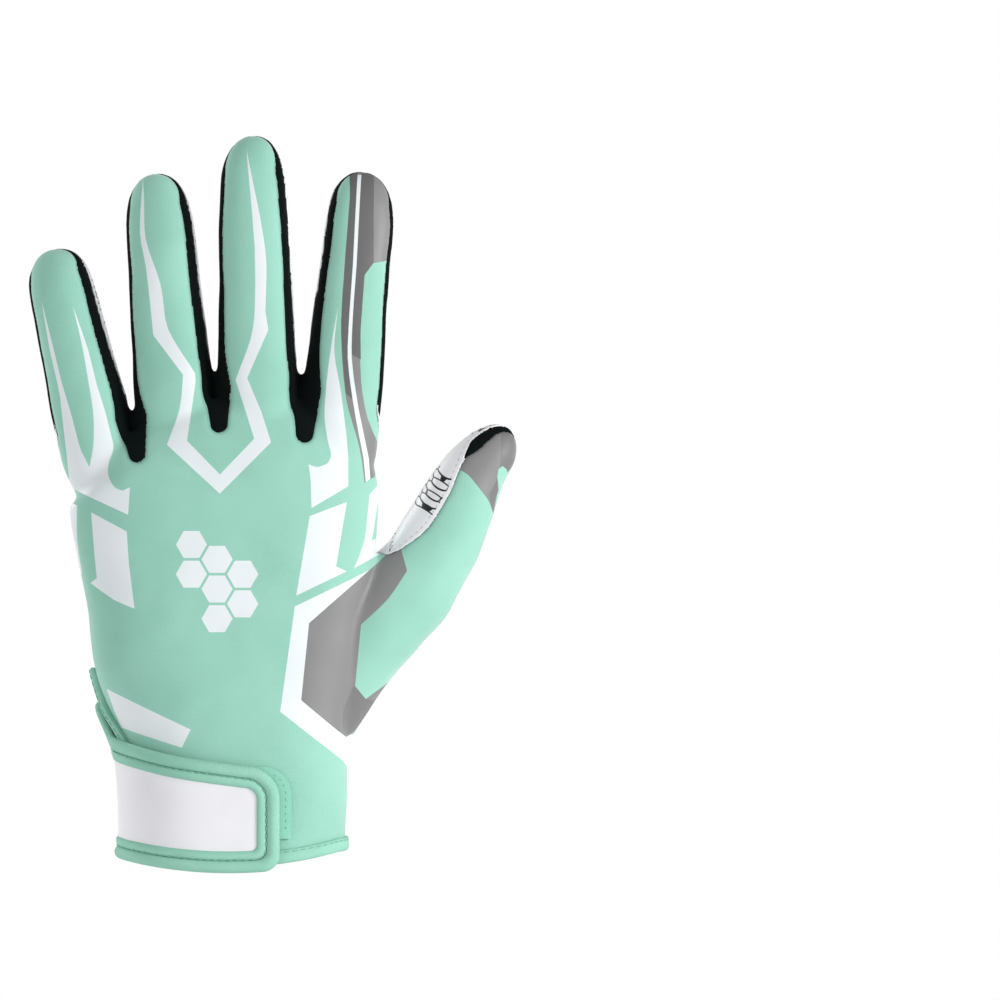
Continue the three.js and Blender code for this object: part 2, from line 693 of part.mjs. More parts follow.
// Outline of the strap seen from the back, its edges moved in by inset.
function strapOutline(inset) {
  const top = (x) => strapTop(x) - inset * Math.hypot(1, STRAP_SLOPE);
  const end = STRAP_REACH - inset;
  const corner = Math.max(STRAP_CORNER - inset, STRAP_CORNER / 4);
  const left = -CUFF_WIDTH;
  const low = (x) => rimHeight(x) - STRAP_OVERHANG + inset;
  const path = new THREE.Path();
  path.moveTo(left, top(left));
  path.lineTo(left, low(CUFF_WIDTH / 2));
  for (const x of STRAP_STEPS.map((share) => share * CUFF_WIDTH)) path.lineTo(x, low(x));
  const lowCorner = corner * STRAP_LOW_CORNER;
  path.lineTo(end - lowCorner, low(end - lowCorner));
  path.quadraticCurveTo(end, low(end), end, low(end) + lowCorner);
  path.lineTo(end, top(end) - corner);
  path.quadraticCurveTo(end, top(end), end - corner, top(end - corner));
  return path.getPoints(4).map((point) => [point.x, point.y]);
}

function strapSolid(thickness, outlineSolid) {
  const inner = LOOP_THICKNESS + 2 * SEAM_GAP;
  const start = STRAP_ROOT * CUFF_DEPTH;
  const root = prismX([[-FAR, -FAR], [start, -FAR], [start, FAR], [-FAR, FAR]], -PALM_WIDTH, PALM_WIDTH);
  return wristLayer(inner, inner + thickness).intersect(outlineSolid).intersect(root);
}

function loopPatch() {
  const left = LOOP_LEFT * CUFF_WIDTH;
  const low = RIM_TAPE + SEAM_GAP;
  const outline = [
    [left, low], [LOOP_RIGHT, low], [LOOP_RIGHT, strapTop(LOOP_RIGHT) + LOOP_SHOWS],
    [left, strapTop(left) + LOOP_SHOWS],
  ];
  const back = prismY(outline, -FAR, 0);
  return wristLayer(SEAM_GAP, SEAM_GAP + LOOP_THICKNESS).intersect(back);
}

// Pieces

// The one body of a solid without the crumbs that a cut leaves.
function mainBody(solid) {
  return solid.decompose().sort((a, b) => b.volume() - a.volume())[0];
}

// Closed geometry of a solid, with points that fall together joined and the faces they flatten gone.
function geometryOf(solid) {
  const { vertProperties, triVerts } = solid.getMesh();
  const geometry = new THREE.BufferGeometry();
  geometry.setAttribute("position", new THREE.BufferAttribute(vertProperties, 3));
  geometry.setIndex(new THREE.BufferAttribute(triVerts, 1));
  const merged = mergeVertices(geometry, MERGE);
  const faces = [];
  for (let i = 0; i < merged.index.count; i += 3) {
    const face = [merged.index.getX(i), merged.index.getX(i + 1), merged.index.getX(i + 2)];
    if (new Set(face).size === 3) faces.push(...face);
  }
  merged.setIndex(faces);
  return merged;
}

function addPiece(group, name, solid, color, roughness) {
  const geometry = geometryOf(mainBody(solid).simplify(SIMPLIFY));
  geometry.computeVertexNormals();
  const material = new THREE.MeshStandardMaterial({ color, roughness, metalness: 0, flatShading: true });
  const piece = new THREE.Mesh(geometry, material);
  piece.name = name;
  group.add(piece);
}

const glove = new THREE.Group();
glove.name = "receiver_glove";

const skin = handSolid(0).subtract(handSolid(-CLOTH_WALL));
const vent = ventPrism(0);
const ventEdge = ventPrism(VENT_TAPE).subtract(sewnSide(0));
const ventCut = ventPrism(VENT_TAPE + SEAM_GAP).subtract(sewnSide(SEAM_GAP)).add(ventPrism(SEAM_GAP));
const shell = skin.intersect(prismY(aboveRim(RIM_TAPE + SEAM_GAP))).subtract(ventCut);

const knit = knitRegions(0);
const knitCuts = joined(Object.values(knitRegions(SEAM_GAP)));
const thumbPanel = prismY(thumbPanelOutline(0));
const palmSide = shell.subtract(jerseyRegion(SEAM_GAP)).subtract(knitCuts);

addPiece(glove, "back_panel", shell.intersect(jerseyRegion(0)).subtract(knitCuts), MINT, 0.75);
addPiece(
  glove, "palm_panel", palmSide.subtract(prismY(thumbPanelOutline(SEAM_GAP))), WHITE, 0.45,
);
addPiece(glove, "thumb_front_panel", palmSide.intersect(thumbPanel), WHITE, 0.45);
for (const [name, region] of Object.entries(knit)) {
  addPiece(glove, name, shell.intersect(region), KNIT, 0.95);
}

const tape = wristLayer(-CLOTH_WALL - TAPE_PROUD, TAPE_PROUD);
const rimTape = tape
  .intersect(prismY(aboveRim(0)).subtract(prismY(aboveRim(RIM_TAPE))))
  .subtract(ventCut);
addPiece(glove, "cuff_binding", rimTape, MINT_TAPE, 0.8);
const ventTape = tape.intersect(ventEdge).subtract(vent).intersect(prismY(aboveRim(0)));
addPiece(glove, "vent_binding", ventTape, MINT_TAPE, 0.8);

const strapInside = prismY(strapOutline(STRAP_TAPE));
const strapEdge = prismY(strapOutline(0)).subtract(strapInside);
addPiece(glove, "loop_patch", loopPatch(), MINT_TAPE, 0.95);
addPiece(
  glove, "strap_panel", strapSolid(STRAP_THICKNESS, prismY(strapOutline(STRAP_TAPE + SEAM_GAP))), WHITE, 0.5,
);
addPiece(glove, "strap_binding", strapSolid(STRAP_TAPE_THICKNESS, strapEdge), MINT_TAPE, 0.8);

export default glove;
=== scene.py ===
import logging
import math
from dataclasses import dataclass, field
from enum import Enum
from typing import Callable, Iterable, Sequence

import bmesh
import bpy
import numpy as np
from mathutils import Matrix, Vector, noise
from mathutils.bvhtree import BVHTree


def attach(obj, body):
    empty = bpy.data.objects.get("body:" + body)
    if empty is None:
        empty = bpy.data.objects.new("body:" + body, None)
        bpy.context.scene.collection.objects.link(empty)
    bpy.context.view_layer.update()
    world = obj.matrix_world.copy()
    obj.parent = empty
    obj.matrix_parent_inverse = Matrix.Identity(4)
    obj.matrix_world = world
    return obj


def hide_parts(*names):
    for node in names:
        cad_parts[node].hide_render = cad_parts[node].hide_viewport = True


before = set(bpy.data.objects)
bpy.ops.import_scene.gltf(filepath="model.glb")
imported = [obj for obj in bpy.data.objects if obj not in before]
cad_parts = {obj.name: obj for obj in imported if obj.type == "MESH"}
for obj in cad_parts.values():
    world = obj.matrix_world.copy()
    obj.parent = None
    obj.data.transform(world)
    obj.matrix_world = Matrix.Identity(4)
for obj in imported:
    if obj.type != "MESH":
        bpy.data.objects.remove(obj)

# Football receiver glove for the left hand, in the shape that the worn glove has. Sizes are in
# millimetres, and finished meshes are scaled to metres. Fingers point to +Z, the back of the hand
# faces -Y, the palm +Y and the thumb +X.

LOG = logging.getLogger("glove")
MM = 0.001
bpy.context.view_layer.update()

Points = np.ndarray
Field = Callable[[Points], np.ndarray]


class Table:
    """Columns of values along a key, read smoothly between the rows."""

    def __init__(self, columns: str, rows: Sequence[Sequence[float]]) -> None:
        """Keep the rows.

        Args:
            columns: Names of the columns, the first one being the key.
            rows: One sequence of values for each row, in rising order of the key.
        """
        self.names = columns.split()
        self.data = np.array(rows, float)

    def at(self, place: np.ndarray | float, column: str) -> np.ndarray:
        """Value of a column at a place.

        Args:
            place: One key value or an array of them.
            column: Name of the column.

        Returns:
            The values, from a monotone cubic through the rows.
        """
        x = self.data[:, 0]
        y = self.data[:, self.names.index(column)]
        step = np.diff(x)
        slope = np.diff(y) / step
        turn = np.zeros_like(y)
        turn[0], turn[-1] = slope[0], slope[-1]
        near = 2 * step[1:] + step[:-1]
        far = step[1:] + 2 * step[:-1]
        same = slope[:-1] * slope[1:] > 0
        safe_low = np.where(same, slope[:-1], 1.0)
        safe_high = np.where(same, slope[1:], 1.0)
        turn[1:-1] = np.where(same, (near + far) / (near / safe_low + far / safe_high), 0.0)
        q = np.clip(place, x[0], x[-1])
        i = np.clip(np.searchsorted(x, q, side="right") - 1, 0, len(x) - 2)
        t = (q - x[i]) / step[i]
        rise = t * t * (3 - 2 * t)
        start = t * (1 - t) ** 2 * step[i] * turn[i]
        end = t * t * (t - 1) * step[i] * turn[i + 1]
        return y[i] + (y[i + 1] - y[i]) * rise + start + end


def smooth_step(low: float, high: float, value: np.ndarray) -> np.ndarray:
    """Ease from 0 at low to 1 at high."""
    t = np.clip((value - low) / (high - low), 0, 1)
    return t * t * (3 - 2 * t)


def soft_min(a: np.ndarray, b: np.ndarray, width: float) -> np.ndarray:
    """Lower of two distance fields, with the valley between them rounded over width."""
    h = np.maximum(width - np.abs(a - b), 0) / width
    return np.minimum(a, b) - h * h * width / 4


def soft_max(a: np.ndarray, b: np.ndarray, width: float) -> np.ndarray:
    """Higher of two distance fields, with the ridge between them rounded over width."""
    return -soft_min(-a, -b, width)


def ellipse_ring(
    centre: Points, across: Points, deep: Points, half: tuple[float, float], power: float, sides: int
) -> Points:
    """Ring of points round a superellipse.

    Args:
        centre: Middle of the ring.
        across: Unit vector of its width.
        deep: Unit vector of its depth.
        half: Half of its width and of its depth.
        power: Exponent of the superellipse.
        sides: Number of points.

    Returns:
        The points, one for each row.
    """
    angle = np.linspace(0, 2 * math.pi, sides, endpoint=False)
    c, s = np.cos(angle), np.sin(angle)
    u = half[0] * np.sign(c) * np.abs(c) ** (2 / power)
    v = half[1] * np.sign(s) * np.abs(s) ** (2 / power)
    return centre + u[:, None] * across + v[:, None] * deep


def add_loft(bm: bmesh.types.BMesh, rings: Sequence[Points], closed_ends: bool = True) -> None:
    """Add a tube through rings of points to a mesh.

    Args:
        bm: Mesh that takes the tube.
        rings: Rings with the same number of points.
        closed_ends: Whether both ends get a face.
    """
    loops: list[list[bmesh.types.BMEdge]] = []
    for ring in rings:
        made = bmesh.ops.create_circle(bm, cap_ends=False, segments=len(ring), radius=1)["verts"]
        for vert, point in zip(made, ring):
            vert.co = Vector(point)
        loops.append(list({edge for vert in made for edge in vert.link_edges}))
    for low, high in zip(loops, loops[1:]):
        bmesh.ops.bridge_loops(bm, edges=low + high)
    if closed_ends:
        bmesh.ops.edgeloop_fill(bm, edges=loops[0])
        bmesh.ops.edgeloop_fill(bm, edges=loops[-1])


def coordinates(bm: bmesh.types.BMesh) -> Points:
    """Positions of all vertices as an array."""
    return np.array([vert.co for vert in bm.verts], float).reshape(-1, 3)


def place(bm: bmesh.types.BMesh, points: Points) -> None:
    """Move all vertices to new positions."""
    for vert, point in zip(bm.verts, points):
        vert.co = point


def to_object(bm: bmesh.types.BMesh, name: str, materials: Sequence[bpy.types.Material]) -> bpy.types.Object:
    """Turn a mesh in millimetres into a piece in metres.

    Args:
        bm: The finished mesh. It is freed.
        name: Name of the piece.
        materials: Materials of its slots, in order.

    Returns:
        The piece, at the origin and in the scene.
    """
    bmesh.ops.scale(bm, vec=(MM, MM, MM), verts=bm.verts)
    mesh = bpy.data.meshes.new(name)
    bm.to_mesh(mesh)
    bm.free()
    for material in materials:
        mesh.materials.append(material)
    piece = bpy.data.objects.new(name, mesh)
    bpy.context.scene.collection.objects.link(piece)
    return piece


@dataclass(frozen=True)
class Finger:
    """One finger: a tube along a straight axis that bends a little towards the palm."""

    name: str
    root: tuple[float, float, float]
    lean: float
    roll: float
    length: float
    width: float
    depth: float = 20.0
    curl: float = 6.0

    rows = Table(
        "s wide deep",
        [
            (-0.36, 0.5, 0.6), (-0.14, 0.86, 0.94), (0, 1, 1), (0.15, 1, 0.99), (0.4, 0.93, 0.96), (0.6, 0.89, 0.93),
            (0.8, 0.84, 0.86), (0.87, 0.785, 0.79), (0.92, 0.68, 0.69), (0.96, 0.52, 0.54),
            (0.985, 0.33, 0.35), (1, 0.06, 0.06),
        ],
    )
    strip = Table(
        "s front back",
        [
            (-0.1, -5.5, 3.5), (0.28, -5.5, 0.5), (0.57, -5.5, -1.2), (0.86, -4.8, -1.0),
            (0.945, -2.0, 1.0), (1.06, 1.0, 3.0),
        ],
    )

    def axes(self) -> tuple[Points, Points, Points]:
        """Unit vectors along the finger, across it and towards the palm."""
        lean, roll = math.radians(self.lean), math.radians(self.roll)
        along = np.array([math.sin(lean), 0, math.cos(lean)])
        level = np.array([math.cos(lean), 0, -math.sin(lean)])
        palmward = np.array([0.0, 1.0, 0.0])
        across = level * math.cos(roll) + palmward * math.sin(roll)
        deep = palmward * math.cos(roll) - level * math.sin(roll)
        return along, across, deep

    def centre(self, s: float) -> Points:
        """Point of the axis at a share s of the length."""
        point = np.array(self.root) + self.axes()[0] * (s * self.length)
        point[1] += self.curl * max(s, 0) ** 2
        return point

    def local(self, points: Points) -> tuple[np.ndarray, np.ndarray, np.ndarray]:
        """Share of the length, place across and place towards the palm of points."""
        along, across, deep = self.axes()
        rel = points - np.array(self.root)
        s = rel @ along / self.length
        rel = rel - np.outer(self.curl * np.maximum(s, 0) ** 2, [0, 1, 0])
        return s, rel @ across, rel @ deep

    def rings(self, sides: int) -> list[Points]:
        """Rings of the finger from its root to its tip."""
        _, across, deep = self.axes()
        stations = np.concatenate([np.linspace(-0.36, 0.8, 31), 1 - 0.2 * np.linspace(0.95, 0, 16) ** 1.7])
        return [
            ellipse_ring(
                self.centre(s), across, deep,
                (float(self.rows.at(s, "wide")) * self.width / 2, float(self.rows.at(s, "deep")) * self.depth / 2),
                2.3, sides,
            )
            for s in stations
        ]

    def strip_field(self, points: Points, side: int, start: float) -> np.ndarray:
        """Distance outside the knit strip on one side of the finger, negative in it."""
        s, u, v = self.local(points)
        field_value = np.maximum(self.strip.at(s, "front") - v, v - self.strip.at(s, "back"))
        reach = np.abs(u) - self.width / 2 - 2
        field_value = np.maximum(field_value, np.maximum(-side * u, reach))
        return soft_max(field_value, (start - s) * self.length, 5.0)


@dataclass
class HandForm:
    """Outer form of the glove and the fields that divide it into its cut pieces."""

    palm_length: float = 137.0
    palm_width: float = 93.5
    palm_depth: float = 31.0
    cuff_width: float = 64.6
    cuff_depth: float = 48.0
    rim_dip: float = 4.0
    web_arch: float = 21.0
    arch_top: float = 6.0
    thumb_length: float = 106.9
    thumb_width: float = 30.0
    thumb_depth: float = 32.0
    thumb_lean: float = 31.9
    vent_top: float = 51.5
    vent_width: float = 14.0
    fingers: dict[str, Finger] = field(default_factory=dict)

    body = Table(
        "rise width depth left right thick back arch",
        [
            (-0.09, 0, 0, 0.478, 0.522, 1, 0, 0),
            (0.11, 0.04, 0.06, 0.473, 0.527, 1, 0, 0),
            (0.23, 0.12, 0.24, 0.481, 0.51, 1, 0, 0),
            (0.318, 0.3, 0.32, 0.512, 0.494, 1, 0, 0),
            (0.41, 0.5, 0.41, 0.518, 0.482, 1, 0, 0),
            (0.525, 0.66, 0.59, 0.517, 0.483, 1, -0.01, 0),
            (0.642, 0.85, 0.79, 0.519, 0.481, 1, -0.03, 0),
            (0.752, 0.95, 0.94, 0.519, 0.478, 0.96, -0.05, 0.25),
            (0.861, 1, 1, 0.518, 0.467, 0.87, -0.05, 0.6),
            (0.949, 1, 1, 0.49, 0.445, 0.69, -0.04, 1),
            (1, 1, 1, 0.43, 0.4, 0.4, -0.02, 1),
        ],
    )
    thumb = Table(
        "s wide deep shift sway",
        [
            (0, 0.867, 0.85, -0.023, 0.125), (0.19, 0.967, 0.94, -0.067, 0.17), (0.34, 1, 1, 0, 0.2),
            (0.44, 1, 0.97, 0.077, 0.23), (0.55, 0.873, 0.86, 0.123, 0.27),
            (0.63, 0.85, 0.77, 0.112, 0.29), (0.76, 0.74, 0.68, 0.07, 0.32),
            (0.85, 0.63, 0.61, 0.048, 0.34), (0.93, 0.52, 0.51, 0.077, 0.36),
            (0.965, 0.39, 0.41, 0.087, 0.37), (0.985, 0.27, 0.29, 0.09, 0.37), (1, 0.05, 0.05, 0.09, 0.37),
        ],
    )
    thumb_edge = Table(
        "s back palm",
        [
            (0.3, -0.97, 0.75), (0.46, -0.95, 0.78), (0.56, -0.64, 0.88), (0.65, -0.38, 0.9),
            (0.74, -0.32, 0.88), (0.86, -0.5, 0.93), (0.9, -0.38, 0.96), (0.96, -0.36, 0.97),
        ],
    )
    gusset_edge = Table(
        "s back palm",
        [(0.74, -0.34, 0.86), (0.86, -0.56, 0.8), (0.92, -0.8, 0.78), (0.96, -0.82, 0.78)],
    )
    side_seam = Table(
        "rise little thumb",
        [
            (-0.3, 0.17, 0.37), (0.29, 0.17, 0.4), (0.365, 0.17, 0.53), (0.47, 0.13, 0.64),
            (0.66, 0.1, 0.2), (0.8, 0.12, 0.0), (1, 0.12, 0.02),
        ],
    )

    def __post_init__(self) -> None:
        """Set the four fingers from the palm's size."""
        w, h = self.palm_width, self.palm_length
        self.fingers = {
            "little": Finger("little", (-0.4235 * w, 2.0, 0.8686 * h), -13.2, -13.5, 63.3, 23.4),
            "ring": Finger("ring", (-0.173 * w, 0.0, 0.9124 * h), -5.17, -10, 78.7, 24.2),
            "middle": Finger("middle", (0.0877 * w, -2.0, 0.9124 * h), -1.23, -6.5, 89.9, 24.2),
            "index": Finger("index", (0.338 * w, -1.0, 0.8905 * h), 5.77, 9.5, 82.2, 24.2),
        }

    def arch_fall(self, x: np.ndarray | float) -> np.ndarray | float:
        """How far the line of webs lies below its top at x."""
        return self.web_arch * ((x - self.arch_top) / 50) ** 2

    def body_section(self, z: np.ndarray | float) -> tuple[np.ndarray, np.ndarray, np.ndarray, np.ndarray]:
        """Middle x and y, half width and half depth of the hand at a height."""
        rise = np.asarray(z) / self.palm_length
        width = self.cuff_width + (self.palm_width - self.cuff_width) * self.body.at(rise, "width")
        depth = self.cuff_depth + (self.palm_depth - self.cuff_depth) * self.body.at(rise, "depth")
        left = -self.body.at(rise, "left") * width
        right = self.body.at(rise, "right") * width
        half_depth = self.body.at(rise, "thick") * depth / 2
        return (left + right) / 2, self.body.at(rise, "back") * depth, (right - left) / 2, half_depth

    def wrist_point(self, angle: np.ndarray, z: np.ndarray, offset: np.ndarray | float) -> tuple[Points, Points]:
        """Points at an offset from the cloth of the wrist, and the outward directions there.

        Args:
            angle: Angles round the section, 0 at the thumb and pi at the little finger.
            z: Heights.
            offset: Distance outside the cloth.

        Returns:
            The points and the unit normals.
        """
        angle, z = np.broadcast_arrays(np.asarray(angle, float), np.asarray(z, float))
        x0, y0, a, b = self.body_section(z)
        c, s = np.cos(angle), np.sin(angle)
        power = 2.6
        u = np.sign(c) * np.abs(c) ** (2 / power)
        v = np.sign(s) * np.abs(s) ** (2 / power)
        normal = np.stack(
            [np.sign(u) * np.abs(u) ** (power - 1) / a, np.sign(v) * np.abs(v) ** (power - 1) / b, 0 * a], -1
        )
        normal /= np.linalg.norm(normal, axis=-1, keepdims=True)
        point = np.stack([x0 + a * u, y0 + b * v, z], -1)
        return point + normal * np.asarray(offset)[..., None], normal

    def thumb_axes(self) -> tuple[Points, Points, Points]:
        """Unit vectors along the thumb, across it and towards the palm side."""
        lean = math.radians(self.thumb_lean)
        along = np.array([math.sin(lean), 0, math.cos(lean)])
        across = np.array([math.cos(lean), 0, -math.sin(lean)])
        return along, across, np.array([0.0, 1.0, 0.0])

    def thumb_root(self) -> Points:
        """Start of the thumb's axis."""
        return np.array([0.257 * self.palm_width, 0, 0.277 * self.palm_length])

    def thumb_local(self, points: Points) -> tuple[np.ndarray, np.ndarray, np.ndarray]:
        """Share of the thumb's length, place across and place towards the palm side of points."""
        along, across, deep = self.thumb_axes()
        rel = points - self.thumb_root()
        s = rel @ along / self.thumb_length
        u = rel @ across - self.thumb.at(s, "shift") * self.thumb_width
        v = rel @ deep - self.thumb.at(s, "sway") * self.thumb_depth
        return s, u, v

    def thumb_point(self, s: float, share: float) -> Points:
        """Point of the thumb's middle plane, at a share of its width across."""
        along, across, _ = self.thumb_axes()
        shift = float(self.thumb.at(s, "shift")) + share
        return self.thumb_root() + along * (s * self.thumb_length) + across * (shift * self.thumb_width)

    def thumb_rings(self, sides: int) -> list[Points]:
        """Rings of the thumb from the wrist joint to its tip."""
        along, across, deep = self.thumb_axes()
        rings = []
        for s in np.concatenate([np.linspace(0, 0.85, 34), 1 - 0.15 * np.linspace(0.95, 0, 14) ** 1.7]):
            centre = self.thumb_root() + along * (s * self.thumb_length)
            centre = centre + across * (float(self.thumb.at(s, "shift")) * self.thumb_width)
            centre = centre + deep * (float(self.thumb.at(s, "sway")) * self.thumb_depth)
            half = (
                float(self.thumb.at(s, "wide")) * self.thumb_width / 2,
                float(self.thumb.at(s, "deep")) * self.thumb_depth / 2,
            )
            rings.append(ellipse_ring(centre, across, deep, half, 2.2, sides))
        return rings

    def body_rings(self, sides: int) -> list[Points]:
        """Rings of the hand without its fingers, from below the rim to the webs."""
        rings = []
        for rise in np.linspace(-0.09, 1, 70):
            x0, y0, a, b = self.body_section(rise * self.palm_length)
            centre = np.array([x0, y0, rise * self.palm_length], float)
            ring = ellipse_ring(
                centre, np.array([1.0, 0, 0]), np.array([0, 1.0, 0]), (float(a), float(b)), 2.6, sides
            )
            ring[:, 2] -= float(self.body.at(rise, "arch")) * self.arch_fall(ring[:, 0])
            rings.append(ring)
        return rings

    def thumb_seam_field(self, points: Points, rows: Table) -> np.ndarray:
        """Distance past the line through the two seams of a table of edges, positive at the front."""
        s, u, v = self.thumb_local(points)
        wide = self.thumb.at(np.minimum(s, 0.96), "wide") * self.thumb_width / 2
        deep = self.thumb.at(np.minimum(s, 0.96), "deep") * self.thumb_depth / 2
        back, palm = rows.at(s, "back"), rows.at(s, "palm")
        power = 2.2
        back_u, back_v = back * wide, -((1 - np.abs(back) ** power) ** (1 / power)) * deep
        palm_u, palm_v = palm * wide, (1 - np.abs(palm) ** power) ** (1 / power) * deep
        run_u, run_v = palm_u - back_u, palm_v - back_v
        size = np.hypot(run_u, run_v)
        middle_u, middle_v = (back_u + palm_u) / 2, (back_v + palm_v) / 2
        return (-(u - middle_u) * run_v + (v - middle_v) * run_u) / size

    def zone(self, points: Points) -> np.ndarray:
        """Weight of the thumb's own seams, from 0 on the hand to 1 on the thumb."""
        s, _, _ = self.thumb_local(points)
        start, crotch = self.thumb_point(0.36, -0.35), self.thumb_point(0.53, -0.42)
        t = np.clip((points[:, 2] - start[2]) / (crotch[2] - start[2]), 0, 1)
        border = start[0] + (crotch[0] - start[0]) * t + 0.4 * np.maximum(points[:, 2] - crotch[2], 0)
        inside = np.minimum((s - 0.36) * self.thumb_length, points[:, 0] - border)
        return smooth_step(-2.5, 2.5, inside)

    def jersey_field(self, points: Points) -> np.ndarray:
        """Distance past the edge of the jersey, negative on the jersey."""
        x, y, z = points.T
        rise = z / self.palm_length
        low, high = -0.6 * self.palm_width, 0.65 * self.palm_width
        little = self.side_seam.at(rise, "little") * self.cuff_depth / 2
        thumb = self.side_seam.at(rise, "thumb") * self.cuff_depth / 2
        hand = y - (little + (thumb - little) * (x - low) / (high - low))
        nearest = np.full(len(points), 1e9)
        finger_field = np.zeros(len(points))
        share = np.zeros(len(points))
        outer = np.zeros(len(points), bool)
        for finger in self.fingers.values():
            s, u, v = finger.local(points)
            aside = np.abs(u)
            closer = aside < nearest
            nearest = np.where(closer, aside, nearest)
            finger_field = np.where(closer, v - finger.strip.at(s, "front"), finger_field)
            share = np.where(closer, s, share)
            free = {"little": u < 0, "index": u > 0}.get(finger.name, np.zeros(len(points), bool))
            outer = np.where(closer, free, outer)
        weight = np.where(outer, smooth_step(0.02, 0.14, share), smooth_step(-0.22, 0.06, share))
        hand = hand + (finger_field - hand) * weight
        own = self.thumb_seam_field(points, self.thumb_edge)
        return hand + (own - hand) * self.zone(points)

    def web(self, a: Finger, b: Finger) -> tuple[Points, Points]:
        """Point of the web between two fingers and the direction between them, both in x and z."""
        direction = a.axes()[0] + b.axes()[0]
        direction /= np.linalg.norm(direction)
        edge_a = a.centre(0) + a.axes()[1] * (a.width / 2)
        edge_b = b.centre(0) - b.axes()[1] * (b.width / 2)
        root = (edge_a + edge_b) / 2
        height = self.palm_length - float(self.arch_fall(root[0]))
        x = root[0] + direction[0] / direction[2] * (height - root[2])
        return np.array([x, height]), direction[[0, 2]]

    def web_field(self, points: Points, a: Finger, b: Finger) -> np.ndarray:
        """Distance outside the knit between two fingers, negative in it."""
        top, direction = self.web(a, b)
        flat = points[:, [0, 2]]

        def drop_shape(drop: float, radius: float, aside: float, widening: float) -> np.ndarray:
            start = top - direction * (drop - radius) + [aside, 0]
            t = np.clip((flat - start) @ direction, 0, 40)
            wider = widening * np.maximum(drop - np.abs(t - drop), 0)
            return np.linalg.norm(flat - start - np.outer(t, direction), axis=1) - radius - wider

        drop, aside, widening = {"ring": (11.0, 0.8, 0.13), "middle": (13.2, 2.2, 0.13)}.get(a.name, (11.0, -0.3, 0.18))
        back = np.maximum(drop_shape(drop, 2.6, aside, widening), points[:, 1])
        palm = np.maximum(drop_shape(1.8, 1.6, 0.0, 0.12), -2 - points[:, 1])
        strips = np.minimum(a.strip_field(points, 1, -0.1), b.strip_field(points, -1, -0.1))
        return soft_min(soft_min(strips, back, 2.5), palm, 1.0)

    def gusset_field(self, points: Points) -> np.ndarray:
        """Distance outside the knit round the thumb's tip, negative in it."""
        s, u, v = self.thumb_local(points)
        between = np.maximum(
            -self.thumb_seam_field(points, self.thumb_edge), self.thumb_seam_field(points, self.gusset_edge)
        )
        start = np.where(v - 0.4 * u < 0, 0.855, 0.75)
        return soft_max(between, (start - s) * self.thumb_length, 1.0)

    def knit_fields(self, points: Points) -> dict[str, np.ndarray]:
        """Distance outside each knit piece, negative in it, by the piece's name."""
        f = self.fingers
        return {
            "fourchette_little_outer": f["little"].strip_field(points, -1, 0.114),
            "fourchette_little_ring": self.web_field(points, f["little"], f["ring"]),
            "fourchette_ring_middle": self.web_field(points, f["ring"], f["middle"]),
            "fourchette_middle_index": self.web_field(points, f["middle"], f["index"]),
            "fourchette_index_outer": f["index"].strip_field(points, 1, 0.1),
            "fourchette_thumb_tip": self.gusset_field(points),
        }

    def knit_field(self, points: Points) -> np.ndarray:
        """Distance outside the nearest knit piece, negative in it."""
        return np.min(list(self.knit_fields(points).values()), axis=0)

    def thumb_panel_field(self, points: Points) -> np.ndarray:
        """Distance outside the front of the thumb, seen from the back, negative in it."""
        web, middle, edge = self.thumb_point(0.53, -0.42), self.thumb_point(0.37, -0.1), self.thumb_point(0.3, 0.45)
        flat = points[:, [0, 2]]

        def beyond(a: Points, b: Points) -> np.ndarray:
            run = (b - a)[[0, 2]] / np.linalg.norm((b - a)[[0, 2]])
            rel = flat - a[[0, 2]]
            return rel[:, 0] * run[1] - rel[:, 1] * run[0]

        below = soft_max(beyond(web, middle), beyond(middle, edge), 6.0)
        return np.maximum(soft_max(below, edge[2] - flat[:, 1], 6.0), web[0] - flat[:, 0])

    def rim_height(self, x: np.ndarray | float) -> np.ndarray | float:
        """Height of the rim at x."""
        return -self.rim_dip * np.maximum(1 - (np.asarray(x) / (self.cuff_width / 2)) ** 2, 0)

    def vent_edges(self, z: np.ndarray | float) -> tuple[np.ndarray, np.ndarray]:
        """y of the vent's edge on the back and on the palm side at a height."""
        fall = np.clip(1 - np.asarray(z) / self.vent_top, 0, None)
        spread = np.minimum(fall / 0.46, 1 + 0.2 * np.clip((fall - 0.46) / 1.14, 0, 1))
        return 1.0 - 0.8 * spread * self.vent_width, 1.0 + 0.2 * np.minimum(fall / 0.46, 1) * self.vent_width

    def vent_field(self, points: Points) -> np.ndarray:
        """Distance outside the vent, negative in it."""
        back, palm = self.vent_edges(points[:, 2])
        between = np.maximum(back - points[:, 1], points[:, 1] - palm)
        return np.maximum(np.maximum(between, points[:, 2] - self.vent_top), points[:, 0] + 16)


class Ink(Enum):
    """Films printed on the jersey, as their material slots. The last two slots are darker copies of the grey film:
    painted shade where the grey print turns over folds of the cloth.
    """

    BARE = 0
    WHITE = 1
    GREY = 2
    # Painted shade: darker greys laid on the grey print where it folds, not films of their own.
    GREY_PAINTED_SHADE = 3
    GREY_PAINTED_HALF_SHADE = 4


